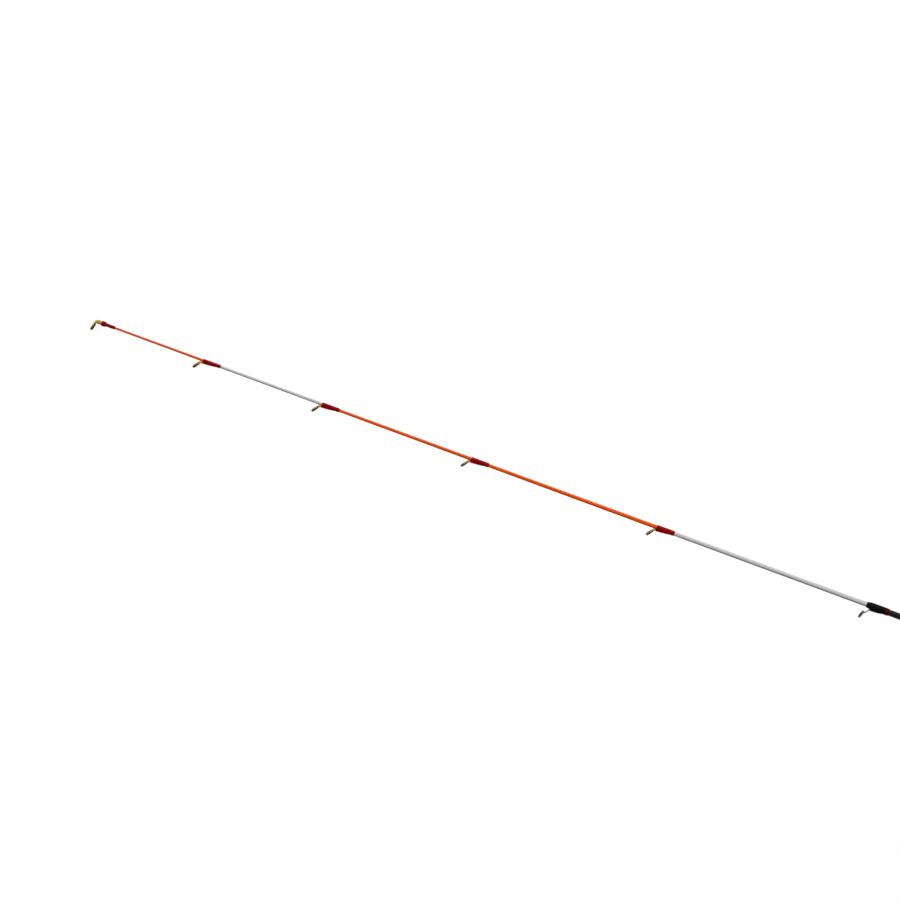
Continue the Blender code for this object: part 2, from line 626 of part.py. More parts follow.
def make_grips():
    """Butt cap, rear grip, mid grip and their metal rings."""
    fillet = [(CAP_FILLET * (1 - math.sin(a)), CAP_DIAMETER / 2 - CAP_FILLET * (1 - math.cos(a)))
              for a in (math.radians(90 - 22.5 * i) for i in range(5))]
    plug = butt_radius(BLANK_X) - BUTT_WALL - FIT
    turned_piece("butt_cap", [(0, 0)] + fillet + [
        (CAP_LENGTH, CAP_DIAMETER / 2), (CAP_LENGTH, plug), (CAP_LENGTH + CAP_PLUG_LENGTH, plug),
        (CAP_LENGTH + CAP_PLUG_LENGTH, 0)], RUBBER)
    ring_radius = butt_radius(REAR_GRIP_END_X) + GRIP_RING_WALL
    waist = REAR_GRIP_WAIST_DIAMETER / 2
    length = REAR_GRIP_LENGTH
    outer = [(BLANK_X, CAP_DIAMETER / 2), (BLANK_X + length * 0.14, CAP_DIAMETER / 2 - 0.4 * MM)]
    for share, mix in ((0.3, 0.62), (0.48, 0.22), (0.7, 0)):
        outer.append((BLANK_X + length * share, waist + (CAP_DIAMETER / 2 - waist) * mix))
    outer += [(REAR_GRIP_END_X - 5 * MM, ring_radius + GRIP_END_RISE), (REAR_GRIP_END_X, ring_radius)]
    turned_piece("rear_grip", sleeve(outer, BLANK_X, REAR_GRIP_END_X, butt_radius), FOAM)
    collar = BARREL_RADIUS + COLLAR_HEIGHT
    for name, start, rear, front in (
            ("rear_grip_ring", REAR_GRIP_END_X + FACE_GAP, ring_radius, ring_radius - 1 * MM),
            ("mid_grip_ring", MID_RING_X, ring_radius - 1 * MM, ring_radius)):
        end = start + GRIP_RING_LENGTH
        turned_piece(name, sleeve([(start, rear), (end, front)], start, end, butt_radius), ALUMINIUM)
    end = MID_GRIP_X + MID_GRIP_LENGTH
    outer = [(MID_GRIP_X, ring_radius), (MID_GRIP_X + 6 * MM, ring_radius + 1.4 * MM),
             (MID_GRIP_X + MID_GRIP_LENGTH * 0.55, (ring_radius + collar) / 2 + GRIP_END_RISE),
             (end - 6 * MM, collar + GRIP_END_RISE / 2), (end, collar)]
    turned_piece("mid_grip", sleeve(outer, MID_GRIP_X, end, butt_radius), FOAM)


def make_reel_seat():
    """Seat body with its deck and key slot, arbors, and the fixed hood."""
    for name, start in (("seat_rear_arbor", SEAT_X + 1 * MM),
                        ("seat_front_arbor", BARREL_END_X - ARBOR_LENGTH - 1 * MM)):
        end = start + ARBOR_LENGTH
        outer = [(start, SEAT_BORE - FIT), (end, SEAT_BORE - FIT)]
        turned_piece(name, sleeve(outer, start, end, butt_radius), CUSHION_PLASTIC)
    belly_end = MOVING_MOUTH_X - TRAVEL - 2 * MM
    outline = [(SEAT_X, BARREL_RADIUS + COLLAR_HEIGHT),
               (SEAT_X + COLLAR_LENGTH, BARREL_RADIUS + COLLAR_HEIGHT),
               (SEAT_X + COLLAR_LENGTH, BARREL_RADIUS)]
    for share, rise in ((0, 0), (0.16, 0.75), (0.45, 1), (0.75, 0.6), (1, 0)):
        outline.append((HOOD_END_X + FACE_GAP + (belly_end - HOOD_END_X - FACE_GAP) * share,
                        BARREL_RADIUS + BELLY_RISE * rise))
    outline += [(BARREL_END_X, BARREL_RADIUS), (BARREL_END_X, SEAT_BORE), (SEAT_X, SEAT_BORE)]
    seat = turned_piece("reel_seat_body", outline, SEAT_PLASTIC)
    past = 2 * BELLY_RISE + COLLAR_HEIGHT
    reach = BARREL_RADIUS + past
    deck = box("deck_cut", (POCKET_FLOOR_X, -reach, -reach), (BARREL_END_X + past, reach, -DECK_DEPTH),
               SEAT_PLASTIC)
    combine(seat, deck, "DIFFERENCE")
    slot = KEY_WIDTH / 2 + RUNNING_GAP
    key = box("key_slot", (belly_end + 1 * MM, -slot, BARREL_RADIUS - KEY_HEIGHT - RUNNING_GAP),
              (BARREL_END_X + past, slot, reach), SEAT_PLASTIC)
    combine(seat, key, "DIFFERENCE")
    hood("fixed_hood", POCKET_FLOOR_X, 1, BARREL_RADIUS + FIT, ALUMINIUM)
    cushion("fixed_hood_cushion", POCKET_FLOOR_X, 1, CUSHION_PLASTIC)


def make_screw_hood():
    """The moving hood with its key, and the nut that drives it, with its ring and foregrip."""
    shell = hood("moving_hood", MOVING_FLOOR_X, -1, HOOD_BORE, ALUMINIUM, HOOD_JOINT)
    key = box("hood_key", (MOVING_MOUTH_X + 1 * MM, -KEY_WIDTH / 2, BARREL_RADIUS - KEY_HEIGHT),
              (MOVING_END_X - 1 * MM, KEY_WIDTH / 2, HOOD_BORE + HOOD_WALL / 2), ALUMINIUM)
    combine(shell, key, "UNION")
    cushion("moving_hood_cushion", MOVING_FLOOR_X, -1, CUSHION_PLASTIC, HOOD_JOINT)
    nut_radius = HOOD_BORE + NUT_WALL
    edge = 1 * MM
    outline = [(NUT_X, nut_radius - edge), (NUT_X + edge, nut_radius),
               (NUT_END_X - edge, nut_radius), (NUT_END_X, nut_radius - edge / 2),
               (NUT_END_X, HOOD_BORE), (NUT_X, HOOD_BORE)]
    nut = turned_piece("lock_nut", outline, SEAT_PLASTIC, 2 * NUT_FLUTES, NUT_JOINT)
    for vert in nut.data.vertices:
        radius = math.hypot(vert.co.y, vert.co.z)
        step = round(math.atan2(vert.co.y, vert.co.z) / math.tau * 2 * NUT_FLUTES)
        if step % 2 and radius > nut_radius - edge * 0.75:
            vert.co.y *= 1 - NUT_FLUTE_DEPTH / radius
            vert.co.z *= 1 - NUT_FLUTE_DEPTH / radius
    start = NUT_END_X + FACE_GAP
    end = start + NUT_RING_LENGTH
    turned_piece("nut_ring", [(start, nut_radius), (end, nut_radius), (end, HOOD_BORE),
                              (start, HOOD_BORE)], ALUMINIUM, TUBE_STEPS, NUT_JOINT)
    body = HOOD_BORE + FOREGRIP_WALL
    nose_bore = butt_radius(FOREGRIP_FLOOR_X - TRAVEL) + RUNNING_GAP
    nose = nose_bore + FOREGRIP_NOSE_WALL
    shoulder = FOREGRIP_FLOOR_X + 1 * MM
    span = FOREGRIP_END_X - shoulder
    outline = [(FOREGRIP_X, body - 0.4 * MM), (FOREGRIP_X + 8 * MM, body + 0.3 * MM)]
    for share in (0, 0.25, 0.5, 0.75, 1):
        fall = (1 - math.cos(math.pi * share)) / 2
        outline.append((shoulder + span * share, body + (nose - body) * fall))
    turned_piece("foregrip", outline + [
        (FOREGRIP_END_X, nose_bore), (FOREGRIP_FLOOR_X, nose_bore), (FOREGRIP_FLOOR_X, HOOD_BORE),
        (FOREGRIP_X, HOOD_BORE)], FOAM, TUBE_STEPS, NUT_JOINT)
    check = butt_radius(CHECK_X) + CHECK_WALL
    outer = [(CHECK_X, check + 0.6 * MM), (CHECK_X + CHECK_LENGTH * 0.4, check),
             (CHECK_END_X, check - 1.6 * MM)]
    turned_piece("winding_check", sleeve(outer, CHECK_X, CHECK_END_X, butt_radius), ALUMINIUM)


def make_keeper():
    """The hook keeper: a base bound to the blank, a pin through its ears, and a bail that folds."""
    half = KEEPER_BASE_LENGTH / 2
    thick = KEEPER_BASE_THICKNESS
    xs = [-half, -half * 0.5, half * 0.5, half]
    thicks = [thick / 2, thick, thick, thick / 2]
    points = [Vector((x, 0, -(butt_radius(KEEPER_X + x) + FIT + t / 2))) for x, t in zip(xs, thicks)]
    hub_half = KEEPER_HUB_WIDTH / 2
    inner = hub_half + FIT
    outer = inner + KEEPER_EAR_THICKNESS
    widths = [KEEPER_BASE_WIDTH * 0.7, KEEPER_BASE_WIDTH, KEEPER_BASE_WIDTH, KEEPER_BASE_WIDTH * 0.7]
    base = body_object("keeper_base", strip(points, widths, thicks, SIDE), ALUMINIUM, (KEEPER_X, 0, 0))
    surface = butt_radius(KEEPER_X) + FIT
    ear = KEEPER_EAR_LENGTH / 2
    saddle = box("keeper_saddle", (KEEPER_X - ear, -outer, -(surface + thick * 1.02)),
                 (KEEPER_X + ear, outer, -(surface + FIT)), ALUMINIUM)
    combine(base, saddle, "UNION")
    turns = [math.radians(30 * i) for i in range(7)]
    outline = [(ear * math.cos(t), -KEEPER_DEPTH - ear * math.sin(t)) for t in turns]
    outline += [(-ear, -surface - thick / 2), (ear, -surface - thick / 2)]
    for side, word in ((1, "left"), (-1, "right")):
        cheeks = [[Vector((KEEPER_X + x, side * y, z)) for x, z in outline] for y in (inner, outer)]
        combine(base, body_object("keeper_ear_" + word, lofted(cheeks), ALUMINIUM), "UNION")
    pin_radius = KEEPER_PIN_DIAMETER / 2
    pin_reach = outer + 0.2 * MM
    hole = turned([(-pin_reach * 1.5, 0), (-pin_reach * 1.5, pin_radius + FIT),
                   (pin_reach * 1.5, pin_radius + FIT), (pin_reach * 1.5, 0)], SOLID_STEPS)
    hole.transform(Matrix.Rotation(math.radians(90), 4, "Z"))
    combine(base, body_object("keeper_hole", hole, ALUMINIUM, (KEEPER_X, 0, -KEEPER_DEPTH)),
            "DIFFERENCE")
    pin = turned([(-pin_reach, 0), (-pin_reach, pin_radius), (pin_reach, pin_radius),
                  (pin_reach, 0)], SOLID_STEPS)
    pin.transform(Matrix.Rotation(math.radians(90), 4, "Z"))
    body_object("keeper_pin", pin, STEEL, (KEEPER_X, 0, -KEEPER_DEPTH))

    hub_radius = KEEPER_HUB_DIAMETER / 2
    hub = turned([(-hub_half, hub_radius), (hub_half, hub_radius), (hub_half, pin_radius + FIT),
                  (-hub_half, pin_radius + FIT)], SOLID_STEPS)
    hub.transform(Matrix.Rotation(math.radians(90), 4, "Z"))
    bail = body_object("keeper_bail", hub, STEEL, (KEEPER_X, 0, -KEEPER_DEPTH), parent=KEEPER_JOINT)
    wire_radius = KEEPER_WIRE_DIAMETER / 2
    loop = KEEPER_LOOP_WIDTH / 2 - wire_radius
    bend_x = KEEPER_LOOP_LENGTH - wire_radius - loop
    shank = hub_half - wire_radius
    spread_x = ear + wire_radius + RUNNING_GAP
    arc = [Vector((bend_x + loop * math.cos(a), loop * math.sin(a), 0))
           for a in (math.radians(90 - 30 * i) for i in range(7))]
    path = [Vector((hub_radius * 0.75, shank, 0)), Vector((spread_x, shank, 0)),
            Vector((spread_x + loop * 0.6, loop, 0))]
    path += arc + [Vector((p.x, -p.y, 0)) for p in reversed(path)]
    bow = body_object("keeper_bow", wire(path, KEEPER_WIRE_DIAMETER, Vector((0, 0, 1))), STEEL,
                      (KEEPER_X, 0, -KEEPER_DEPTH))
    combine(bail, bow, "UNION")
    for name, side in (("keeper_rear_wrap", -1), ("keeper_front_wrap", 1)):
        near = KEEPER_X + side * (ear + 1.2 * MM)
        foot_end = KEEPER_X + side * half
        end = foot_end + side * 2 * MM
        stations = []
        for x, share, thread in ((near, 0.3, THREAD_EDGE), (near + side * THREAD * 3, 0.3, THREAD),
                                 (foot_end, 1, THREAD), (foot_end + side * THREAD * 4, None, THREAD),
                                 (end, None, THREAD_EDGE)):
            radius = butt_radius(x)
            lift = 0
            if share is not None:
                lift = foot_lift(radius, KEEPER_BASE_WIDTH, thick * (1 - share / 3))
            stations.append((x, radius, lift, thread))
        binding(name, stations[::side], BLACK_THREAD, TUBE_STEPS)


def make_stripper():
    """The large guide next to the joint, with a foot behind its ring and one ahead of it."""
    guide = STRIPPER
    root_x = STRIPPER_X - guide.root
    frame, centre = two_leg_frame(guide, STRIPPER_X, root_x, STEEL, None)
    ring_top = centre + ring_up(guide) * (holder_radius(guide) - guide.band / 2)
    front_x = ring_top.x + guide.sheet
    foot_start, foot_end = foot_points(guide, front_x + 2 * guide.sheet, front_x + guide.foot)
    knee = Vector((front_x, 0, foot_start.z - guide.sheet * 0.35))
    shin = Vector((front_x - guide.sheet * 0.5, 0, foot_start.z - 2.5 * guide.sheet))
    width = guide.foot_width
    sheet = guide.sheet
    leg = strip([ring_top, shin, knee, foot_start, foot_end],
                [width * 1.1, width * 0.8, width, width, width * FOOT_END_WIDTH],
                [sheet, sheet, sheet, sheet, sheet * FOOT_END_THICKNESS], SIDE)
    combine(frame, body_object("stripper_front_leg", leg, STEEL), "UNION")
    ceramic_ring(guide, "stripper_ring", centre, DARK_CERAMIC, None)
    wraps = (("stripper_rear_wrap", root_x, root_x, root_x - guide.foot, root_x - guide.wrap),
             ("stripper_front_wrap", foot_start.x, foot_start.x, foot_end.x,
              foot_start.x + guide.wrap - 3 * sheet))
    for name, front, root, far, end in wraps:
        toward = 1 if end > front else -1
        clear = front + toward * sheet * 0.6
        stations = foot_stations(guide, clear, clear, far, end, THREAD)
        binding(name, stations[::toward], BLACK_THREAD, TUBE_STEPS)
        trim_start = end + toward * FACE_GAP
        stations = [(trim_start, THREAD), (trim_start + toward * TRIM_LENGTH, THREAD_EDGE)]
        stations = [(x, butt_radius(x), 0, thread) for x, thread in stations]
        binding(name.replace("wrap", "trim"), stations[::toward], RED_THREAD, TUBE_STEPS)


def make_tip_guides():
    """Guides 1 to 7, counted from the tip, with their bindings."""
    for number, from_tip in enumerate(ONE_LEG_FROM_TIP, 1):
        guide = ONE_LEG._replace(name=f"guide_{number}")
        x = ROD_LENGTH - from_tip
        centre = one_leg_frame(guide, x, GOLD, TIP_JOINT)
        ceramic_ring(guide, guide.name + "_ring", centre, GOLD_CERAMIC, TIP_JOINT)
        front = x - guide.sheet * 0.6
        stations = foot_stations(guide, front, front, x - guide.foot, x - guide.wrap)
        binding(guide.name + "_wrap", stations[::-1], RED_THREAD, SOLID_STEPS, TIP_JOINT)
    for guide in TWO_LEG:
        x = ROD_LENGTH - guide.from_tip
        root_x = x - guide.root
        frame, centre = two_leg_frame(guide, x, root_x, STEEL, TIP_JOINT)
        ceramic_ring(guide, guide.name + "_ring", centre, DARK_CERAMIC, TIP_JOINT)
        stations = foot_stations(guide, x, root_x + guide.sheet, root_x - guide.foot, x - guide.wrap,
                                 THREAD)
        wrap = binding(guide.name + "_wrap", stations[::-1], BLACK_THREAD, TUBE_STEPS, TIP_JOINT)
        leg_slot(guide, wrap, root_x, centre, BLACK_THREAD)
        trim = x - guide.wrap - FACE_GAP
        stations = [(place, blank_radius(place), 0, thread)
                    for place, thread in ((trim - TRIM_LENGTH, THREAD_EDGE), (trim, THREAD))]
        binding(guide.name + "_trim", stations, RED_THREAD, TUBE_STEPS, TIP_JOINT)


def make_tip_top():
    """The tip-top: a tube over the rod's end, whose nose is pressed flat and bent into the ring's neck."""
    guide = TIP_TOP
    x = ROD_LENGTH - guide.from_tip
    centre = guide_centre(guide, x)
    bore = solid_radius(TIP_TUBE_X) + FIT
    tube = TIP_TUBE_DIAMETER / 2
    floor = TIP_TUBE_LENGTH + FACE_GAP
    shoulder = floor + FACE_GAP
    outline = [(0, bore), (0, tube * 0.85), (tube * 0.5, tube), (shoulder, tube),
               (shoulder + TIP_TUBE_NOSE, tube * 0.7), (shoulder + TIP_TUBE_NOSE, 0), (floor, 0),
               (floor, bore)]
    frame = body_object("tip_top_frame", turned(outline, SOLID_STEPS), GOLD, (TIP_TUBE_X, 0, 0),
                        parent=TIP_JOINT)
    ring_top = centre + ring_up(guide) * (holder_radius(guide) - guide.band / 2)
    nose = Vector((TIP_TUBE_X + shoulder, 0, 0))
    fall = ring_top - nose
    points = [nose + Vector((fall.x * along, 0, fall.z * down))
              for along, down in ((0, 0), (0.4, 0.12), (0.75, 0.45), (1, 1))]
    width = guide.foot_width
    sheet = guide.sheet
    neck = strip(points, [width * 0.75, width * 0.85, width, width],
                 [sheet, sheet, sheet * 0.9, guide.width], SIDE)
    combine(frame, body_object("tip_top_neck", neck, GOLD), "UNION")
    combine(frame, band_object(guide, "tip_top_band", centre, GOLD), "UNION")
    ceramic_ring(guide, "tip_top_ring", centre, GOLD_CERAMIC, TIP_JOINT)
    end = x - guide.wrap
    foot = TIP_TUBE_X - 2 * THREAD
    stations = [(end, solid_radius(end), THREAD_EDGE), (end + THREAD * 3, solid_radius(end), THREAD),
                (foot, solid_radius(foot), THREAD), (TIP_TUBE_X, tube * 0.85, THREAD),
                (TIP_TUBE_X + tube * 0.5, tube, THREAD), (x - THREAD, tube, THREAD),
                (x, tube, THREAD / 2)]
    stations = [(place, radius, 0, thread) for place, radius, thread in stations]
    binding("tip_top_wrap", stations, RED_THREAD, SOLID_STEPS, TIP_JOINT)


def make_ferrule_binding():
    """The binding that keeps the socket's mouth from splitting, and its trim band."""
    start = FERRULE_X + 1 * MM
    end = start + FERRULE_WRAP_LENGTH
    thread = FERRULE_WRAP_THICKNESS
    stations = [(start, thread / 2), (start + thread * 2, thread), (end - thread * 2, thread),
                (end, thread / 2)]
    stations = [(x, tube_radius(x), 0, t) for x, t in stations]
    binding("ferrule_wrap", stations, BLACK_THREAD, TUBE_STEPS, TIP_JOINT)
    trim = end + FACE_GAP
    stations = [(x, tube_radius(x), 0, THREAD_EDGE) for x in (trim, trim + TRIM_LENGTH)]
    binding("ferrule_trim", stations, RED_THREAD, TUBE_STEPS, TIP_JOINT)


make_blanks()
make_grips()
make_reel_seat()
make_screw_hood()
make_keeper()
make_stripper()
make_ferrule_binding()
make_tip_guides()
make_tip_top()
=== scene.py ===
import math

import bmesh
import bpy
import numpy as np
from mathutils import Matrix, Vector


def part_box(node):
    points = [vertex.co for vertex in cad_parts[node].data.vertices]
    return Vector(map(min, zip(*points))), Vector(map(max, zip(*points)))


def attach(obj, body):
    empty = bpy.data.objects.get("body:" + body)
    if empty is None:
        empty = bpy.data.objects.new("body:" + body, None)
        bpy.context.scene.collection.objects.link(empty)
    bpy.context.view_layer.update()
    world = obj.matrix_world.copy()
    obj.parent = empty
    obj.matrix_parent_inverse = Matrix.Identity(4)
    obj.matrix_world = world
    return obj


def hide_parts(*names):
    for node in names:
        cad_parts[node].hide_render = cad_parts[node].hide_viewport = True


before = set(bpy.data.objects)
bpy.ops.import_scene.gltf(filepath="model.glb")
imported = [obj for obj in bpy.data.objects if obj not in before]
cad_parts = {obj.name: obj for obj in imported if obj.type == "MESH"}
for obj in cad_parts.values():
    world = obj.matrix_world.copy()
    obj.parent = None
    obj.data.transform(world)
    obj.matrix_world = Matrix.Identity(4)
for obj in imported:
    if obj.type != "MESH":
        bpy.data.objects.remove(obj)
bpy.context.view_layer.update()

# The photograph is taken square to the side of the rod, from far off, with the tip at its left. The
# rod runs down to the right in it, so the camera stands level with the rod and is rolled about its
# own line of sight.
MM = 0.001
ROD_LENGTH = 1830 * MM
SLOPE_IN_PHOTO = math.radians(20.19)
PIXELS_PER_METRE = 1750
PHOTO_PIXELS = 900
LENS_MM = 200
SENSOR_MM = 36
SPLICE_WRAP_PIXEL = Vector((866.4, 604.35))
guide_5_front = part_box("guide_5_wrap")[1].x

camera_data = bpy.data.cameras.new("photo_camera")
camera_data.lens = LENS_MM
camera_data.sensor_width = SENSOR_MM
camera_data.clip_start = 0.01
camera_data.clip_end = 50
camera = bpy.data.objects.new("photo_camera", camera_data)
bpy.context.scene.collection.objects.link(camera)
bpy.context.scene.camera = camera
image_right = Vector((-math.cos(SLOPE_IN_PHOTO), 0, math.sin(SLOPE_IN_PHOTO)))
image_up = Vector((math.sin(SLOPE_IN_PHOTO), 0, math.cos(SLOPE_IN_PHOTO)))
towards_camera = Vector((0, 1, 0))
distance = LENS_MM / SENSOR_MM * PHOTO_PIXELS / PIXELS_PER_METRE
offset = (Vector((PHOTO_PIXELS / 2, PHOTO_PIXELS / 2)) - SPLICE_WRAP_PIXEL) / PIXELS_PER_METRE
picture_centre = Vector((guide_5_front, 0, 0)) + image_right * offset.x - image_up * offset.y
turn = Matrix((image_right, image_up, towards_camera)).transposed()
camera.matrix_world = Matrix.Translation(picture_centre + towards_camera * distance) @ turn.to_4x4()

# The studio: a white surround, soft light from above, and a pale floor well below the rod, as
# there is under a rod that is held up for its picture.
FLOOR_BELOW = 0.62
FLOOR_HALF_SIZE = 12
SURROUND_LIGHT = 0.21
WHITE = (1, 1, 1, 1)
bpy.context.scene.view_settings.view_transform = "Standard"


def plug(tree, node, inputs):
    """Links each named input of a node to the socket given for it, or sets it to the plain value."""
    for key, value in inputs.items():
        if isinstance(value, bpy.types.NodeSocket):
            tree.links.new(value, node.inputs[key])
        else:
            node.inputs[key].default_value = value


def add_node(tree, kind, inputs, **settings):
    """A new node of that kind, with its settings and inputs."""
    node = tree.nodes.new(kind)
    for key, value in settings.items():
        setattr(node, key, value)
    plug(tree, node, inputs)
    return node


def seen_directly(tree):
    """Socket that is 1 for camera, glossy and transmission rays, and 0 for the rays that light."""
    rays = tree.nodes.new("ShaderNodeLightPath").outputs
    largest = rays["Is Camera Ray"]
    for other in ("Is Glossy Ray", "Is Transmission Ray"):
        largest = add_node(tree, "ShaderNodeMath", {0: largest, 1: rays[other]},
                           operation="MAXIMUM").outputs[0]
    return largest


world = bpy.data.worlds.new("studio")
world.use_nodes = True
bpy.context.scene.world = world
sky = world.node_tree
plug(sky, sky.nodes["Background"], {"Strength": SURROUND_LIGHT, "Color": WHITE})
white = add_node(sky, "ShaderNodeBackground", {"Color": WHITE})
world_mix = add_node(sky, "ShaderNodeMixShader", {
    "Fac": seen_directly(sky), 1: sky.nodes["Background"].outputs[0], 2: white.outputs[0]})
plug(sky, sky.nodes["World Output"], {"Surface": world_mix.outputs[0]})

floor_mesh = bpy.data.meshes.new("floor")
floor_mesh.from_pydata([(x * FLOOR_HALF_SIZE, y * FLOOR_HALF_SIZE, -FLOOR_BELOW)
                        for x, y in ((-1, -1), (1, -1), (1, 1), (-1, 1))], [], [(0, 1, 2, 3)])
floor = bpy.data.objects.new("floor", floor_mesh)
bpy.context.scene.collection.objects.link(floor)
floor_paint = bpy.data.materials.new("floor_paint")
floor_paint.use_nodes = True
floor_tree = floor_paint.node_tree
plug(floor_tree, floor_tree.nodes["Principled BSDF"], {
    "Base Color": (0.3, 0.3, 0.3, 1), "Roughness": 0.9, "Specular IOR Level": 0,
    "Emission Color": (0.94, 0.94, 0.94, 1), "Emission Strength": seen_directly(floor_tree)})
floor_mesh.materials.append(floor_paint)


def studio_lamp(name, place, target, size, watts):
    """A square soft lamp at place that faces target."""
    lamp = bpy.data.lights.new(name, "AREA")
    lamp.size = size
    lamp.energy = watts
    holder = bpy.data.objects.new(name, lamp)
    holder.location = place
    holder.rotation_euler = (Vector(target) - Vector(place)).to_track_quat("-Z", "Y").to_euler()
    bpy.context.scene.collection.objects.link(holder)


TIP_MIDDLE = Vector((guide_5_front + 0.2, 0, 0))
studio_lamp("lamp_before_tip", TIP_MIDDLE + Vector((0.1, 1.35, 1.45)), TIP_MIDDLE, 1.0, 29)
studio_lamp("lamp_before_butt", Vector((0.3, 1.35, 1.45)), Vector((0.4, 0, 0)), 1.0, 29)
studio_lamp("lamp_behind", Vector((0.9, -1.7, 1.1)), Vector((0.9, 0, 0)), 1.4, 3)

# The blanks: two rolled carbon tubes, clear coated, and a solid glass tip that is let into the
# mouth of the upper tube and painted in orange and white bands.
BLANK_X = 14.1 * MM
BUTT_RADIUS, SPIGOT_RADIUS, BUTT_WALL = 5.2 * MM, 3.1 * MM, 1.0 * MM
SOCKET_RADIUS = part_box("tip_tube")[1].z
SOCKET_BORE = 3.15 * MM
TUBE_TIP_RADIUS = 1.75 * MM
SOLID_BASE_RADIUS, SOLID_TIP_RADIUS = 1.35 * MM, 0.6 * MM
TENON_RADIUS, TENON_LENGTH = 1.1 * MM, 50 * MM
MOUTH_CHAMFER = 2 * MM
BLANK_SIDES = 72
FIT = 0.05 * MM
SURFACE_WELD = 2e-7
SMOOTH_ANGLE = math.radians(38)


def ends(node):
    """Where a node's box starts and ends along the rod."""
    low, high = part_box(node)
    return low.x, high.x


FERRULE_X, SPLICE_X = ends("tip_tube")
SPIGOT_END_X = ends("butt_blank")[1]


def straight(x, start, end, first, last):
    """The value at x on the straight line from (start, first) to (end, last)."""
    return first + (last - first) * (np.asarray(x, float) - start) / (end - start)


def butt_radius(x):
    """Radius of the butt blank at x, a straight taper that goes on along the spigot."""
    return straight(x, BLANK_X, FERRULE_X, BUTT_RADIUS, SPIGOT_RADIUS)


def tip_radius(x):
    """Radius of the tip piece at x: the tube, its chamfered mouth, then the solid tip."""
    mouth = SPLICE_X - MOUTH_CHAMFER
    at_mouth = straight(mouth, FERRULE_X, SPLICE_X, SOCKET_RADIUS, TUBE_TIP_RADIUS)
    return np.interp(x, [FERRULE_X, mouth, SPLICE_X, SPLICE_X + 0.01 * MM, ROD_LENGTH],
                     [SOCKET_RADIUS, at_mouth, SOLID_BASE_RADIUS, SOLID_BASE_RADIUS, SOLID_TIP_RADIUS])


def angles(sides):
    """That many even angles right round."""
    return np.arange(sides) * math.tau / sides


def wrapped(x, r, a):
    """Grid of the points (x, r sin a, -r cos a), so that a is the angle from straight down."""
    x, r, a = np.broadcast_arrays(x, r, a)
    return np.stack([x, r * np.sin(a), -r * np.cos(a)], -1)


def revolved(outline, sides):
    """Grid of an outline of (x, r) points turned about the rod's axis."""
    outline = np.asarray(outline, float)
    return wrapped(outline[:, :1], outline[:, 1:], angles(sides))


def rounded(corners, fillet, steps=5):
    """The closed outline with each corner P drawn as (1-t)^2 A + 2t(1-t) P + t^2 B for t from 0 to 1.

    A and B lie on the two sides at P, a fillet's length from it, or just under half the side.
    """
    p = np.asarray(corners, float)
    sides = np.stack([np.roll(p, 1, 0), np.roll(p, -1, 0)]) - p
    lengths = np.linalg.norm(sides, axis=-1, keepdims=True)
    reach = np.minimum(lengths.min(0) * 0.48, np.broadcast_to(fillet, len(p))[:, None])
    a, b = (p + sides / lengths * reach)[:, :, None]
    t = np.linspace(0, 1, steps)[None, :, None]
    return ((1 - t) ** 2 * a + 2 * t * (1 - t) * p[:, None] + t ** 2 * b).reshape(-1, 2)


def through(points, steps):
    """Catmull-Rom curve through the points, with that many steps from each one to the next.

    Between P1 and P2 it is half of 2 P1 + (P2-P0) t + (2P0-5P1+4P2-P3) t^2 + (3P1-P0-3P2+P3) t^3.
    """
    p = np.asarray(points, float)
    p = np.vstack([2 * p[0] - p[1], p, 2 * p[-1] - p[-2]])
    p0, p1, p2, p3 = p[:-3, None], p[1:-2, None], p[2:-1, None], p[3:, None]
    t = np.linspace(0, 1, steps, endpoint=False)[None, :, None]
    curve = 0.5 * (2 * p1 + (p2 - p0) * t + (2 * p0 - 5 * p1 + 4 * p2 - p3) * t ** 2
                   + (3 * p1 - p0 - 3 * p2 + p3) * t ** 3)
    return np.vstack([curve.reshape(-1, p.shape[1]), p[-2]])


def capped(grid):
    """The grid with one more row at each end, all of whose points are the middle of the end row."""
    first, last = (np.broadcast_to(row.mean(1, keepdims=True), row.shape)
                   for row in (grid[:1], grid[-1:]))
    return np.concatenate([first, grid, last])


def grid_quads(grid):
    """Corner numbers of a grid's quads. Its columns join round, and so do its rows, unless the first
    row is all one point. The quads are turned about if the volume that they enclose, a sum of
    a.(b x c) / 6, is negative."""
    rows, columns = grid.shape[:2]
    steps = rows - 1 if np.ptp(grid[0], axis=0).max() < SURFACE_WELD else rows
    i, j = np.meshgrid(np.arange(steps), np.arange(columns), indexing="ij")
    i2, j2 = (i + 1) % rows, (j + 1) % columns
    corners = [i * columns + j, i * columns + j2, i2 * columns + j2, i2 * columns + j]
    quads = np.stack(corners, -1).reshape(-1, 4)
    points = grid.reshape(-1, 3) - grid.mean((0, 1))
    a, b, c, d = (points[quads[:, k]] for k in range(4))
    volume = (a * np.cross(b, c)).sum() + (a * np.cross(c, d)).sum()
    return quads[:, ::-1] if volume < 0 else quads


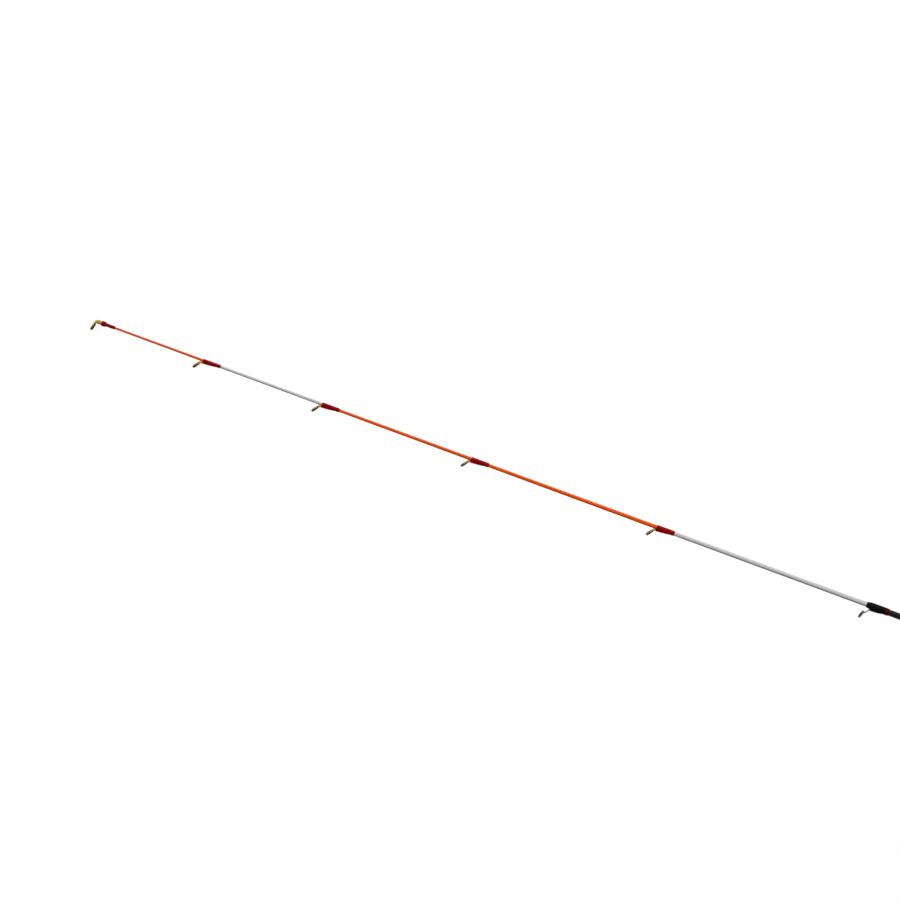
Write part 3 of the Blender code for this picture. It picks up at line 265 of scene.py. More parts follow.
def made(name, shells, look, body, *nodes):
    """One piece from the grids of closed shells. Its look is a material and the slot for it; the slot is
    not used.
    """
    material, slot = look
    points, quads, count = [], [], 0
    for grid in shells:
        quads.append(grid_quads(grid) + count)
        points.append(grid.reshape(-1, 3))
        count += len(points[-1])
    mesh = bpy.data.meshes.new(name)
    mesh.from_pydata(np.concatenate(points), [], np.concatenate(quads).tolist())
    work = bmesh.new()
    work.from_mesh(mesh)
    bmesh.ops.remove_doubles(work, verts=work.verts[:], dist=SURFACE_WELD)
    bmesh.ops.dissolve_degenerate(work, edges=work.edges[:], dist=SURFACE_WELD)
    work.to_mesh(mesh)
    work.free()
    mesh.shade_smooth()
    mesh.set_sharp_from_angle(angle=SMOOTH_ANGLE)
    mesh.materials.append(material)
    piece = bpy.data.objects.new(name, mesh)
    bpy.context.scene.collection.objects.link(piece)
    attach(piece, body)
    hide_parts(*nodes)


def linear(red, green, blue):
    """A colour given as it looks on screen, in 0 to 255, as the linear values that a shader takes."""
    c = np.array((red, green, blue)) / 255
    return (*np.where(c <= 0.04045, c / 12.92, ((c + 0.055) / 1.055) ** 2.4), 1)


COAT_IOR = 1.12


def finish(name, colour, roughness, metallic=0.0, coat=0.0, coat_roughness=0.05, specular=0.03):
    """A new material, its node tree and its Principled shader, with the plain values set."""
    material = bpy.data.materials.new(name)
    material.use_nodes = True
    tree = material.node_tree
    shader = tree.nodes["Principled BSDF"]
    plug(tree, shader, {"Base Color": linear(*colour), "Roughness": roughness, "Metallic": metallic,
                        "Coat Weight": coat, "Coat Roughness": coat_roughness, "Coat IOR": COAT_IOR,
                        "Specular IOR Level": specular})
    return material, tree, shader


def computed(tree, operation, *values):
    """Output of a math node on those values, which are sockets or numbers."""
    return add_node(tree, "ShaderNodeMath", dict(enumerate(values)), operation=operation).outputs[0]


def place_on(tree):
    """Output sockets X, Y and Z of the place on a piece, in metres."""
    place = tree.nodes.new("ShaderNodeTexCoord").outputs["Object"]
    return add_node(tree, "ShaderNodeSeparateXYZ", {0: place}).outputs


def along_mm(tree):
    """Socket of the place along the rod, in mm."""
    return computed(tree, "MULTIPLY", place_on(tree)["X"], 1000.0)


def spiral(tree, pitch):
    """Socket that grows by 1 for each pitch in mm along the rod, and by 1 for a turn about its axis."""
    place = place_on(tree)
    turned = computed(tree, "DIVIDE", computed(tree, "ARCTAN2", place["Y"], place["Z"]), math.tau)
    return computed(tree, "ADD", computed(tree, "DIVIDE", along_mm(tree), pitch), turned)


def noise(tree, scale, detail=2.0, roughness=0.5, stretch=(1, 1, 1)):
    """Value of a noise on the piece's own coordinates, with scale in cells per metre."""
    place = tree.nodes.new("ShaderNodeTexCoord").outputs["Object"]
    place = add_node(tree, "ShaderNodeMapping", {"Vector": place, "Scale": stretch}).outputs[0]
    return add_node(tree, "ShaderNodeTexNoise", {
        "Vector": place, "Scale": scale, "Detail": detail, "Roughness": roughness}).outputs["Fac"]


def spread(tree, value, low, high):
    """The value, from 0 to 1, spread from low to high."""
    return add_node(tree, "ShaderNodeMapRange", {
        "Value": value, "To Min": low, "To Max": high}).outputs["Result"]


def mixed(tree, share, first, second, **settings):
    """Socket of the first colour mixed with the second by a share from 0 to 1."""
    return add_node(tree, "ShaderNodeMix", {"Factor": share, "A": first, "B": second},
                    data_type="RGBA", **settings).outputs["Result"]


def raised(tree, shader, height, depth, strength):
    """Bumps the shader by a height from 0 to 1 that stands for that depth in mm."""
    plug(tree, shader, {"Normal": add_node(tree, "ShaderNodeBump", {
        "Strength": strength, "Distance": depth * MM, "Height": height}).outputs["Normal"]})


def textured(tree, shader, tint, polish, grain=None):
    """Tints the shader, spreads its roughness and raises it, each by a socket from 0 to 1. With the
    socket comes what it goes between: the dark and the light colour, the low and the high roughness,
    and for the grain its depth in mm and its strength."""
    value, dark, light = tint
    plug(tree, shader, {"Base Color": mixed(tree, value, linear(*dark), linear(*light)),
                        "Roughness": spread(tree, *polish)})
    if grain:
        raised(tree, shader, *grain)


def carbon_finish():
    """Clear-coated carbon: black, with the faint spiral that the shrink tape leaves under the coat."""
    tape_pitch = 2.4
    material, tree, shader = finish("clear_coated_carbon", (14, 14, 15), 0.34, coat=0.6,
                                    coat_roughness=0.04)
    saw = computed(tree, "FRACT", spiral(tree, tape_pitch))
    streaks = noise(tree, 2600, 3.0, 0.6, (0.03, 1, 1))
    tone = computed(tree, "MULTIPLY_ADD", streaks, 0.7, computed(tree, "MULTIPLY", saw, 0.3))
    textured(tree, shader, (tone, (8, 8, 9), (27, 27, 29)), (streaks, 0.26, 0.44), (saw, 0.012, 0.7))
    return material, "carbon"


CARBON = carbon_finish()
butt_xs = np.linspace(BLANK_X, SPIGOT_END_X, 60)
bore = np.stack([butt_xs[::-1], butt_radius(butt_xs[::-1]) - BUTT_WALL], -1)
butt_outline = np.vstack([np.stack([butt_xs, butt_radius(butt_xs)], -1), bore])
made("butt_blank_tube", [revolved(butt_outline, BLANK_SIDES)], CARBON, "butt_section", "butt_blank")

tube_xs = np.linspace(FERRULE_X, SPLICE_X - MOUTH_CHAMFER, 60)
tube_inside = [
    (SPLICE_X - 0.6 * MM, SOLID_BASE_RADIUS + 0.16 * MM), (SPLICE_X, SOLID_BASE_RADIUS + 0.02 * MM),
    (SPLICE_X, TENON_RADIUS + FIT), (SPLICE_X - TENON_LENGTH, TENON_RADIUS + FIT),
    (SPIGOT_END_X + 2 * MM, SOCKET_BORE - 0.13 * MM), (FERRULE_X, SOCKET_BORE)]
tube_outline = np.vstack([np.stack([tube_xs, tip_radius(tube_xs)], -1), tube_inside])
made("tip_blank_tube", [revolved(tube_outline, BLANK_SIDES)], CARBON, "tip_section", "tip_tube")

# the paint's bands from the tube's mouth on: where each one starts, and whether it is white
ONE_LEG_NAMES = ["guide_1", "guide_2", "guide_3", "guide_4"]
BAND_STARTS = [SPLICE_X] + [ends(name + "_wrap")[0] + 5 * MM for name in ONE_LEG_NAMES[::-1]]
BAND_IS_WHITE = [True, False, False, True, False]


def band_paint():
    """Gloss paint in orange and white bands, each from one binding to the next."""
    orange, white_paint = (230, 80, 3), (184, 184, 187)
    material, tree, shader = finish("band_paint", orange, 0.4, coat=0.03, specular=0.01)
    place = add_node(tree, "ShaderNodeMapRange", {
        "From Min": SPLICE_X / MM, "From Max": ROD_LENGTH / MM, "Value": along_mm(tree)})
    ramp = add_node(tree, "ShaderNodeValToRGB", {"Fac": place.outputs["Result"]})
    ramp.color_ramp.interpolation = "CONSTANT"
    stops = ramp.color_ramp.elements
    stops.remove(stops[1])
    for start, is_white in zip(BAND_STARTS, BAND_IS_WHITE):
        share = float(straight(start, SPLICE_X, ROD_LENGTH, 0, 1))
        stop = stops.new(share) if share > 0 else stops[0]
        stop.color = linear(*white_paint) if is_white else linear(*orange)
    level = spread(tree, noise(tree, 900, 4.0, 0.6, (0.2, 1, 1)), 0.84, 1.06)
    grey = add_node(tree, "ShaderNodeCombineColor", dict.fromkeys(("Red", "Green", "Blue"), level))
    plug(tree, shader, {"Base Color": mixed(tree, 1.0, ramp.outputs["Color"], grey.outputs["Color"],
                                            blend_type="MULTIPLY"),
                        "Roughness": spread(tree, noise(tree, 2500, 3.0), 0.22, 0.4)})
    raised(tree, shader, noise(tree, 1400, 3.0, 0.5, (0.25, 1, 1)), 0.02, 0.5)
    return material, "white_paint"


solid_start, solid_end = ends("solid_tip")
solid_xs = np.linspace(SPLICE_X + 0.1 * MM, solid_end, 90)
solid_outline = np.vstack([
    [(solid_start, TENON_RADIUS), (SPLICE_X + 0.1 * MM, TENON_RADIUS)],
    np.stack([solid_xs, tip_radius(solid_xs)], -1)])
made("painted_solid_tip", [capped(revolved(solid_outline, 48))], band_paint(), "tip_section",
     "solid_tip")

# The bindings: thread wound tight over the foot of each guide and the blank beside it, then flooded
# with clear epoxy, which rounds the thread's ridges and runs out thin at both ends.
THREAD_THICKNESS = 0.34 * MM
THREAD_PITCH = 0.2 * MM
RIDGE = 0.008 * MM
EPOXY_RUNOUT = 0.7 * MM
# what a binding is wound on: the body, its radius at x, and the number of sides to make it with
ON_TIP = ("tip_section", tip_radius, 56)
ON_SOCKET = ("tip_section", tip_radius, 72)
ON_BUTT = ("butt_section", butt_radius, 72)
REAR_END, FRONT_END = (True, False), (False, True)


def thread_finish(name, slot, dark, light, gap):
    """Thread under clear epoxy: fine turns with dark gaps, and a smooth glossy coat over them."""
    material, tree, shader = finish(name, light, 0.5, coat=0.15, coat_roughness=0.06, specular=0.02)
    wave = computed(tree, "PINGPONG", spiral(tree, THREAD_PITCH / MM), 0.5)
    round_top = computed(tree, "POWER", computed(tree, "MULTIPLY", wave, 2.0), 0.5)
    fibres = spread(tree, noise(tree, 9000, 2.0, 0.6, (2.0, 0.3, 0.3)), 0.6, 1.15)
    turns = mixed(tree, computed(tree, "MULTIPLY", round_top, fibres), linear(*gap), linear(*light))
    patches = spread(tree, noise(tree, 500, 3.0), 0.0, 0.6)
    plug(tree, shader, {"Base Color": mixed(tree, patches, turns, linear(*dark))})
    raised(tree, shader, round_top, 0.02, 0.4)
    return material, slot


RED_THREAD = thread_finish("dark_red_thread", "red_thread", (112, 0, 5), (172, 5, 11), (74, 0, 3))
TRIM_THREAD = thread_finish("dark_red_trim", "red_thread", (52, 0, 6), (88, 4, 15), (32, 0, 3))
BLACK_THREAD = thread_finish("black_thread", "black_thread", (4, 4, 5), (13, 13, 15), (2, 2, 2))


def fraction(x, start, end):
    """How far x has come on the way from start to end, from 0 to 1."""
    return np.clip((x - start) / (end - start), 0, 1)


def over_foot(angle, radius, half_width, depth):
    """Distance from the axis, at an angle from straight down, of a cord drawn tight round a round
    blank and a flat foot below it: the foot's flat, then the tangent to the blank, then the blank."""
    corner = np.hypot(depth, half_width)
    corner_angle = np.arctan2(half_width, depth)
    touch = corner_angle + np.arccos(np.clip(radius / corner, -1, 1))
    a = np.abs((angle + math.pi) % math.tau - math.pi)
    flat = depth / np.maximum(np.cos(a), 0.2)
    slant = radius / np.maximum(np.cos(np.clip(touch - a, -1.4, 1.4)), 0.1)
    hull = np.where(a < corner_angle, flat, np.where(a < touch, slant, radius))
    return np.maximum(hull, radius)


def no_foot(x):
    """Nothing lies under the thread."""
    return np.zeros_like(x), np.zeros_like(x)


def foot_between(root, end, half_width, thickness, radius_at, fall=1.3):
    """The foot under a binding, as a function of x: full at the root, and thinner towards its end by
    the share of its length to the power of fall. It fades out within 1 mm beyond either end."""
    def foot(x):
        share = fraction(x, root, end)
        beyond = np.abs(x - np.clip(x, min(root, end), max(root, end)))
        present = 1 - fraction(beyond, 0, 1 * MM)
        return (half_width * (1 - 0.4 * share) * present,
                radius_at(x) + (FIT + thickness * (1 - 0.8 * share ** fall)) * present)
    return foot


def bound(node, look, under, foot=no_foot, thread=(THREAD_THICKNESS, THREAD_THICKNESS),
          runs_out=(True, True), longer=0.0):
    """One binding, a closed sleeve along the box of that node, and longer at its end. Its outside is
    the tight cord's distance plus the thread, less an epoxy run-out at the ends that have one, plus
    a ridge of (1 + cos) / 2 for each turn of thread.

    under is the body, the radius as a function of x, and the number of sides. foot is a function of
    x that gives the half width and the depth of what lies under the thread. The thread goes evenly
    from its first thickness, at the start, to its second.
    """
    body, radius_at, sides = under
    start, end = ends(node)
    end += longer
    x = np.linspace(start, end, max(8, int((end - start) / THREAD_PITCH * 4)))[:, None]
    a = angles(sides)
    radius = radius_at(x)
    half_width, depth = foot(x)
    cord = over_foot(a, radius, half_width, np.maximum(depth, radius))
    cord = np.stack([np.roll(cord, k, 1) for k in (-1, 0, 1)]).mean(0)
    to_ends = np.stack([x - start, end - x]) + np.where(runs_out, 0, EPOXY_RUNOUT)[:, None, None]
    build = fraction(to_ends.min(0), 0, EPOXY_RUNOUT)
    ridge = RIDGE * (1 + np.cos(math.tau * (x / THREAD_PITCH - a / math.tau))) / 2
    outer = cord + straight(x, start, end, *thread) * build ** 0.5 + ridge * build
    inner = np.broadcast_to(radius - 0.02 * MM, outer.shape)[[-1, 0]]
    shell = wrapped(np.concatenate([x, x[[-1, 0]]]), np.concatenate([outer, inner]), a)
    made(node.replace("_wrap", "_binding").replace("_trim", "_trim_band"), [shell], look, body, node)


# Guides 1 to 4 near the tip: each a gold-coloured stamped frame with one leg and one foot, and a
# thin ceramic ring pressed into its band. The ring is dark brown and swells behind the band. This is
# partly the ring's own ceramic and partly painted shade on the ring's lower rear side.
RING_SIDES = 64
SIDE = np.array((0, 1, 0))


def in_mm(*sizes):
    """Those sizes, given in mm, as an array in metres."""
    return np.array(sizes) * MM


def unit(vectors):
    """The vectors, each made one long."""
    return vectors / np.linalg.norm(vectors, axis=-1, keepdims=True)


def soft_square(sides, power):
    """Points (u, v) right round the curve |u|^n + |v|^n = 1, for the power n."""
    a = angles(sides)
    size = (np.abs(np.cos(a)) ** power + np.abs(np.sin(a)) ** power) ** (-1 / power)
    return np.cos(a) * size, np.sin(a) * size


def swept(path, widths, thicknesses, side=SIDE, sides=20, power=4.0):
    """A capped bar along a path. Its section is a soft square, with u along side, and v along the
    path's normal, which is the tangent crossed with side.

    Widths and thicknesses are each a pair of lists: places from 0 to 1 along the path's points, and
    the sizes there.
    """
    path = np.asarray(path, float)
    side = np.broadcast_to(side, path.shape)
    normal = unit(np.cross(unit(np.gradient(path, axis=0)), side))
    share = np.linspace(0, 1, len(path))
    u, v = soft_square(sides, power)
    across = u[:, None] * np.interp(share, *widths)[:, None, None] / 2
    upright = v[:, None] * np.interp(share, *thicknesses)[:, None, None] / 2
    return capped(path[:, None] + side[:, None] * across + normal[:, None] * upright)


def leaned(points, centre, lean):
    """Points given from a ring's centre, x along its axis and z up, turned so that its lower side
    leans towards the tip of the rod, and set at the centre."""
    c, s = math.cos(lean), math.sin(lean)
    x, y, z = points[..., 0], points[..., 1], points[..., 2]
    return np.stack([x * c - z * s, y, x * s + z * c], -1) + np.asarray(centre)


def ring_shells(guide, lean, ring, bore, wall, width, lip=0.0):
    """Shells of a guide's metal band and ceramic ring, and their centre, from the ring's diameter
    and bore and the band's thickness and width.

    The band's outside is domed. The ring's section is a soft square of power 2.6. One with a lip is
    pressed in from the rear, and swells by the lip behind the band. The lip of a dark ring there is
    painted shade on the ring's lower rear side.
    """
    low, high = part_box(guide + "_ring")
    centre = np.array((low + high) / 2)
    u, v = soft_square(60, 2.6)
    along, out = (width / 2 + 0.2 * MM) * u, (ring - bore) / 4 * v
    band_rear = 1.6 * lip - width / 2
    behind = np.clip((band_rear - along) / (0.04 * MM), 0, 1) * (out > 0)
    section = np.stack([along, (ring + bore) / 4 + out * (1 + lip / ((ring - bore) / 4) * behind)], -1)
    inner, outer = ring / 2 - 0.02 * MM, ring / 2 + FIT + wall
    band = rounded([(band_rear, outer), (width / 2, outer), (width / 2, inner), (band_rear, inner)],
                   np.array([0.9, 0.9, 0.2, 0.2]) * wall, 9)
    return [leaned(revolved(outline, RING_SIDES), centre, lean) for outline in (band, section)], centre


def mottled(name, slot, colour, roughness, tint, polish, grain=(None, 0, 0), **plain):
    """A look made by three noises. Each is given with what it is spread between: the dark and the
    light tint, the two roughnesses, and for the grain, if any, its depth in mm and its strength."""
    material, tree, shader = finish(name, colour, roughness, **plain)
    textured(tree, shader, *((noise(tree, *scales), first, second)
                             for scales, first, second in (tint, polish, grain) if scales))
    return material, slot


def ceramic_look(name, dark, light):
    """Polished ceramic: hard and smooth, with a faint mottling."""
    return mottled(name, name, light, 0.12, ((1800, 4.0, 0.6), dark, light), ((3500, 2.0), 0.08, 0.2),
                  metallic=0.05, coat=0.3, coat_roughness=0.02)


# gold-coloured plating, polished, with a little wear and fine rubbing marks
GOLD_RUB = (5000, 3.0, 0.6, (0.15, 1, 1))
GOLD = mottled("gold_plating", "gold_metal", (150, 124, 58), 0.3,
              ((900, 3.0), (138, 102, 30), (184, 150, 60)), (GOLD_RUB, 0.12, 0.36), (GOLD_RUB, 0.008, 0.6),
              metallic=0.15, specular=0.15)
# the rings' ceramic in dark brown: partly its own colour and partly painted shade for the dark lower rear
# side of the gold guides' rings
GOLD_CERAMIC_AND_PAINTED_SHADE = ceramic_look("gold_ceramic", (24, 17, 6), (46, 32, 12))
# ring diameter, bore, band wall, band width, and the lip by which the dark ring swells behind the band as
# painted shade
SMALL_SIZES = in_mm(3.9, 2.8, 0.42, 1.2, 0.36)
SMALL_RING, SMALL_WALL, SMALL_LIP = SMALL_SIZES[[0, 2, 4]]
SMALL_BAND_MIDDLE = SMALL_RING / 2 + FIT + SMALL_WALL / 2

ONE_LEG_LEAN = math.radians(36)
ONE_LEG_SHEET, ONE_LEG_WIDTH, ONE_LEG_FOOT = 0.85 * MM, 1.0 * MM, 7.5 * MM
ONE_LEG_WIDTHS = [0, 0.03, 0.07, 0.14, 0.3, 0.5, 1], in_mm(1.0, 1.7, 2.1, 1.8, 1.25, 1.0, 0.6)
ONE_LEG_SHEETS = ([0, 0.03, 0.07, 0.25, 0.42, 0.55, 0.75, 1],
                  in_mm(0.5, 0.8, 1.1, 1.6, 1.6, 1.1, 0.75, 0.2))
for name in ONE_LEG_NAMES:
    (band, ring), centre = ring_shells(name, ONE_LEG_LEAN, *SMALL_SIZES)
    wrap_end = ends(name + "_wrap")[1]
    joint_x = wrap_end + 0.6 * ONE_LEG_SHEET
    foot_depth = tip_radius(wrap_end) + FIT + ONE_LEG_SHEET / 2
    foot_end = joint_x - ONE_LEG_FOOT
    end_depth = tip_radius(foot_end) + FIT + ONE_LEG_SHEET * 0.15
    ring_top = leaned(np.array((SMALL_LIP * 0.9, 0, SMALL_BAND_MIDDLE)), centre, ONE_LEG_LEAN)
    path = through([
        ring_top, (ring_top + (joint_x, 0, 0.1 * MM - foot_depth)) / 2, (joint_x, 0, -foot_depth),
        (joint_x - 1.2 * MM, 0, 0.06 * MM - foot_depth), (foot_end, 0, -end_depth)], 8)
    made(name + "_gold_frame", [swept(path, ONE_LEG_WIDTHS, ONE_LEG_SHEETS, power=2.6), band], GOLD,
         "tip_section", name + "_frame")
    made(name + "_gold_ring", [ring], GOLD_CERAMIC_AND_PAINTED_SHADE, "tip_section", name + "_ring")
    foot = foot_between(joint_x + 0.3 * MM, foot_end, ONE_LEG_WIDTH / 2, ONE_LEG_SHEET, tip_radius)
    bound(name + "_wrap", RED_THREAD, ON_TIP, foot, longer=0.35 * MM)

# The tip-top: a gold-coloured tube glued over the end of the rod, whose nose is pressed flat and
# bent down into the neck of its ring, and a binding that steps down from the tube to the blank.
TIP_LEAN = math.radians(13)
TIP_TUBE_RADIUS = 1.15 * MM
TIP_TUBE_BOUND = 2.6 * MM
TIP_TUBE_LENGTH = 4.2 * MM
TIP_NOSE = 0.9 * MM
tip_x = ends("tip_top_wrap")[1]
tube_start = tip_x - TIP_TUBE_BOUND
tube_end = tube_start + TIP_TUBE_LENGTH
tip_bore = tip_radius(tube_start) + FIT
tube_outline = rounded([
    (tube_start, tip_bore), (tube_start, TIP_TUBE_RADIUS * 0.85), (tube_start + 0.5 * MM, TIP_TUBE_RADIUS),
    (tube_end + TIP_NOSE * 0.3, TIP_TUBE_RADIUS), (tube_end + TIP_NOSE, TIP_TUBE_RADIUS * 0.7),
    (tube_end + TIP_NOSE, 0), (tube_end - 0.1 * MM, 0), (tube_end - 0.1 * MM, tip_bore)],
    in_mm(0.1, 0.1, 0.1, 0.6, 0.4, 0, 0, 0))
(tip_band, tip_ring), tip_centre = ring_shells("tip_top", TIP_LEAN, *SMALL_SIZES)
neck_start = np.array((tip_x + 0.8 * MM, 0, 0))
neck_fall = leaned(np.array((SMALL_LIP * 0.6, 0, SMALL_BAND_MIDDLE)), tip_centre, TIP_LEAN) - neck_start
neck_path = through([neck_start + neck_fall * (along, 0, down)
                     for along, down in ((0, 0), (0.36, 0.03), (0.66, 0.2), (0.87, 0.52), (1, 1))], 8)
neck_places = [0, 0.25, 0.5, 0.75, 0.88, 0.96, 1]
neck = swept(neck_path, (neck_places, in_mm(1.5, 1.6, 1.8, 2.1, 2.4, 2.1, 1.4)),
             (neck_places, in_mm(2.2, 2.15, 2.0, 1.75, 1.4, 1.0, 0.6)), power=2.8)
made("tip_top_gold_frame", [revolved(tube_outline, 48), neck, tip_band], GOLD, "tip_section",
     "tip_top_frame")
made("tip_top_gold_ring", [tip_ring], GOLD_CERAMIC_AND_PAINTED_SHADE, "tip_section", "tip_top_ring")


def eased(share):
    """A share from 0 to 1 that starts and ends gently: 3 s^2 - 2 s^3."""
    return share * share * (3 - 2 * share)


def over_tip_tube(x):
    """Radius under the tip-top's binding: the blank, then a short slope up to the tube."""
    rise = eased(fraction(x, tube_start - 0.7 * MM, tube_start + 0.5 * MM))
    return tip_radius(x) * (1 - rise) + TIP_TUBE_RADIUS * rise


bound("tip_top_wrap", RED_THREAD, ("tip_section", over_tip_tube, 56))

# Guides 5 to 7 and the stripper: dark steel frames, each stamped from one sheet, whose two legs
# spread from a foot to the sides of the ring. The stripper has a third leg ahead of its ring.
DARK_CERAMIC = ceramic_look("dark_ceramic", (12, 12, 13), (34, 34, 37))

# polished grey steel with a smoked plating, and fine rubbing marks along it
STEEL_RUB = (2400, 4.0, 0.65, (0.12, 1, 1))
STEEL = mottled("smoked_steel", "steel_frame", (70, 70, 73), 0.3, (STEEL_RUB, (50, 50, 53), (92, 92, 96)),
               (STEEL_RUB, 0.16, 0.4), (STEEL_RUB, 0.01, 0.5), metallic=0.35, specular=0.15)


def two_leg_shells(guide, lean, ring_sizes, root_x, foot_end, foot_width, sheet, radius_at):
    """Shells of a frame with a foot, a plate that runs on from it, two legs and the ring's band, then
    the ring's own shell and its centre."""
    (band, ring), centre = ring_shells(guide, lean, *ring_sizes)
    ring_diameter, wall = ring_sizes[0], ring_sizes[2]
    root = np.array((root_x, 0, -(radius_at(root_x) + FIT + sheet / 2)))
    end = np.array((foot_end, 0, -(radius_at(foot_end) + FIT + sheet * 0.15)))
    to_ring = centre - root
    span = np.linalg.norm(to_ring)
    out_at_root, out_at_ring = foot_width * 0.3, ring_diameter / 2 + FIT + wall + sheet * 0.15
    fork = (1.6 * THREAD_THICKNESS + 1.8 * sheet) / span
    half_at_fork = straight(fork, 0, 1, out_at_root, out_at_ring) + sheet * 0.45
    foot_path = through([root + to_ring * fork, root + to_ring * fork * 0.45,
                         root - (sheet * 0.6, 0, 0), (root + end) / 2, end], 7)
    foot_widths = [2 * half_at_fork, foot_width * 1.1, foot_width, foot_width * 0.6]
    shells = [swept(foot_path, ([0, 0.25, 0.5, 1], foot_widths),
                    ([0, 0.5, 1], [sheet * 0.95, sheet, sheet * 0.25])), band]
    leg_widths = [0, 0.2, 0.6, 0.85, 0.93, 1], np.array([1.2, 1.3, 1.25, 1.5, 1.7, 0.7]) * sheet
    leg_sheets = [0, 0.88, 1], np.array([0.9, 0.9, 0.45]) * sheet
    places = [(0.02, out_at_root), (fork, half_at_fork - sheet * 0.75),
              (0.55, straight(0.52, 0, 1, out_at_root, out_at_ring)),
              (0.82, straight(0.84, 0, 1, out_at_root, out_at_ring)), (1.0, out_at_ring - sheet * 0.2)]
    for side in (1, -1):
        leg_path = through([root + to_ring * along + SIDE * side * out for along, out in places], 6)
        across = unit(np.cross(np.gradient(leg_path, axis=0), np.cross(to_ring / span, SIDE)))
        shells.append(swept(leg_path, leg_widths, leg_sheets, across))
    return shells, ring, centre


# lean in degrees, then in mm: ring diameter, bore, band wall, band width, root behind the front,
# foot length, foot width and sheet thickness
TWO_LEG_SIZES = {"guide_5": (19, 3.9, 2.8, 0.42, 1.0, 3.1, 6.5, 1.5, 0.63),
                 "guide_6": (16, 5.2, 3.8, 0.5, 1.2, 3.6, 8.5, 1.6, 0.6),
                 "guide_7": (18, 8.8, 6.8, 0.65, 1.5, 4.2, 11.0, 2.0, 0.8)}
TRIM_THREAD_ENDS = (0.28 * MM, THREAD_THICKNESS)
for name, (lean_degrees, *sizes) in TWO_LEG_SIZES.items():
    *ring_sizes, root, foot_length, foot_width, sheet = in_mm(*sizes)
    root_x = ends(name + "_wrap")[1] - root
    foot_end = root_x - foot_length
    shells, ring, _ = two_leg_shells(name, math.radians(lean_degrees), ring_sizes, root_x, foot_end,
                                     foot_width, sheet, tip_radius)
    made(name + "_steel_frame", shells, STEEL, "tip_section", name + "_frame")
    made(name + "_dark_ring", [ring], DARK_CERAMIC, "tip_section", name + "_ring")
    foot = foot_between(root_x, foot_end, foot_width / 2, sheet, tip_radius, 3.0)
    bound(name + "_wrap", BLACK_THREAD, ON_TIP, foot, runs_out=FRONT_END)
    bound(name + "_trim", TRIM_THREAD, ON_TIP, no_foot, TRIM_THREAD_ENDS, REAR_END)

STRIPPER_SIZES = in_mm(17.6, 14.4, 1.0, 2.2)
STRIPPER_RING, STRIPPER_WALL = STRIPPER_SIZES[[0, 2]]
STRIPPER_LEAN = math.radians(20)
STRIPPER_FOOT, STRIPPER_FOOT_WIDTH, STRIPPER_SHEET = 14.0 * MM, 3.0 * MM, 1.1 * MM
rear_x, front_x = ends("stripper_frame")
shells, ring, centre = two_leg_shells("stripper", STRIPPER_LEAN, STRIPPER_SIZES, rear_x + STRIPPER_FOOT,
                                      rear_x, STRIPPER_FOOT_WIDTH, STRIPPER_SHEET, butt_radius)
ring_top = leaned(np.array((0, 0, STRIPPER_RING / 2 + FIT + STRIPPER_WALL * 0.4)), centre, STRIPPER_LEAN)
knee_x = front_x - STRIPPER_FOOT + STRIPPER_SHEET
knee_depth = butt_radius(knee_x) + FIT + STRIPPER_SHEET / 2
shin_depth = butt_radius(knee_x + 3 * MM) + FIT + STRIPPER_SHEET / 2
end_depth = butt_radius(front_x) + FIT + STRIPPER_SHEET / 4
front_path = through([
    ring_top, ((ring_top[0] + knee_x - 1 * MM) / 2, 0, ring_top[2] * 0.45 - knee_depth * 0.55),
    (knee_x - 0.6 * MM, 0, -knee_depth - 1.1 * MM), (knee_x + 0.6 * MM, 0, -knee_depth),
    (knee_x + 3 * MM, 0, -shin_depth), (front_x, 0, -end_depth)], 7)
front_widths = ([0, 0.04, 0.08, 0.14, 0.22, 0.32, 0.42, 0.5, 0.6, 1],
                in_mm(5.8, 4.8, 4.1, 3.5, 3.0, 2.7, 2.6, 2.7, 3.0, 1.8))
shells.append(swept(front_path, front_widths, ([0, 0.6, 1], in_mm(1.0, 1.1, 0.5))))
made("stripper_steel_frame", shells, STEEL, "butt_section", "stripper_frame")
made("stripper_dark_ring", [ring], DARK_CERAMIC, "butt_section", "stripper_ring")
STRIPPER_SIDES = (
    ("stripper_rear", ends("stripper_rear_wrap")[1] + 0.66 * MM, rear_x, FRONT_END, REAR_END,
     TRIM_THREAD_ENDS),
    ("stripper_front", ends("stripper_front_wrap")[0] - 0.66 * MM, front_x, REAR_END, FRONT_END,
     TRIM_THREAD_ENDS[::-1]))
for name, root_x, foot_end, runs_out, trim_runs_out, trim_ends in STRIPPER_SIDES:
    foot = foot_between(root_x, foot_end, STRIPPER_FOOT_WIDTH / 2, STRIPPER_SHEET, butt_radius)
    bound(name + "_wrap", BLACK_THREAD, ON_BUTT, foot, runs_out=runs_out)
    bound(name + "_trim", TRIM_THREAD, ON_BUTT, no_foot, trim_ends, trim_runs_out)

# The binding round the socket's mouth, which keeps the tube from splitting when the joint is closed,
# and its trim band, which thins out towards the tip.
bound("ferrule_wrap", BLACK_THREAD, ON_SOCKET, no_foot, (0.38 * MM, 0.34 * MM), REAR_END)
bound("ferrule_trim", TRIM_THREAD, ON_SOCKET, no_foot, (THREAD_THICKNESS, 0.12 * MM), FRONT_END)

# The butt cap and the two foam grips. The foam is cut and ground to shape, so its skin shows fine
# cut cells; the cap is moulded rubber with a rounded end and two shallow grooves.
GRIP_SIDES = 96
CAP_RADIUS = 12.5 * MM


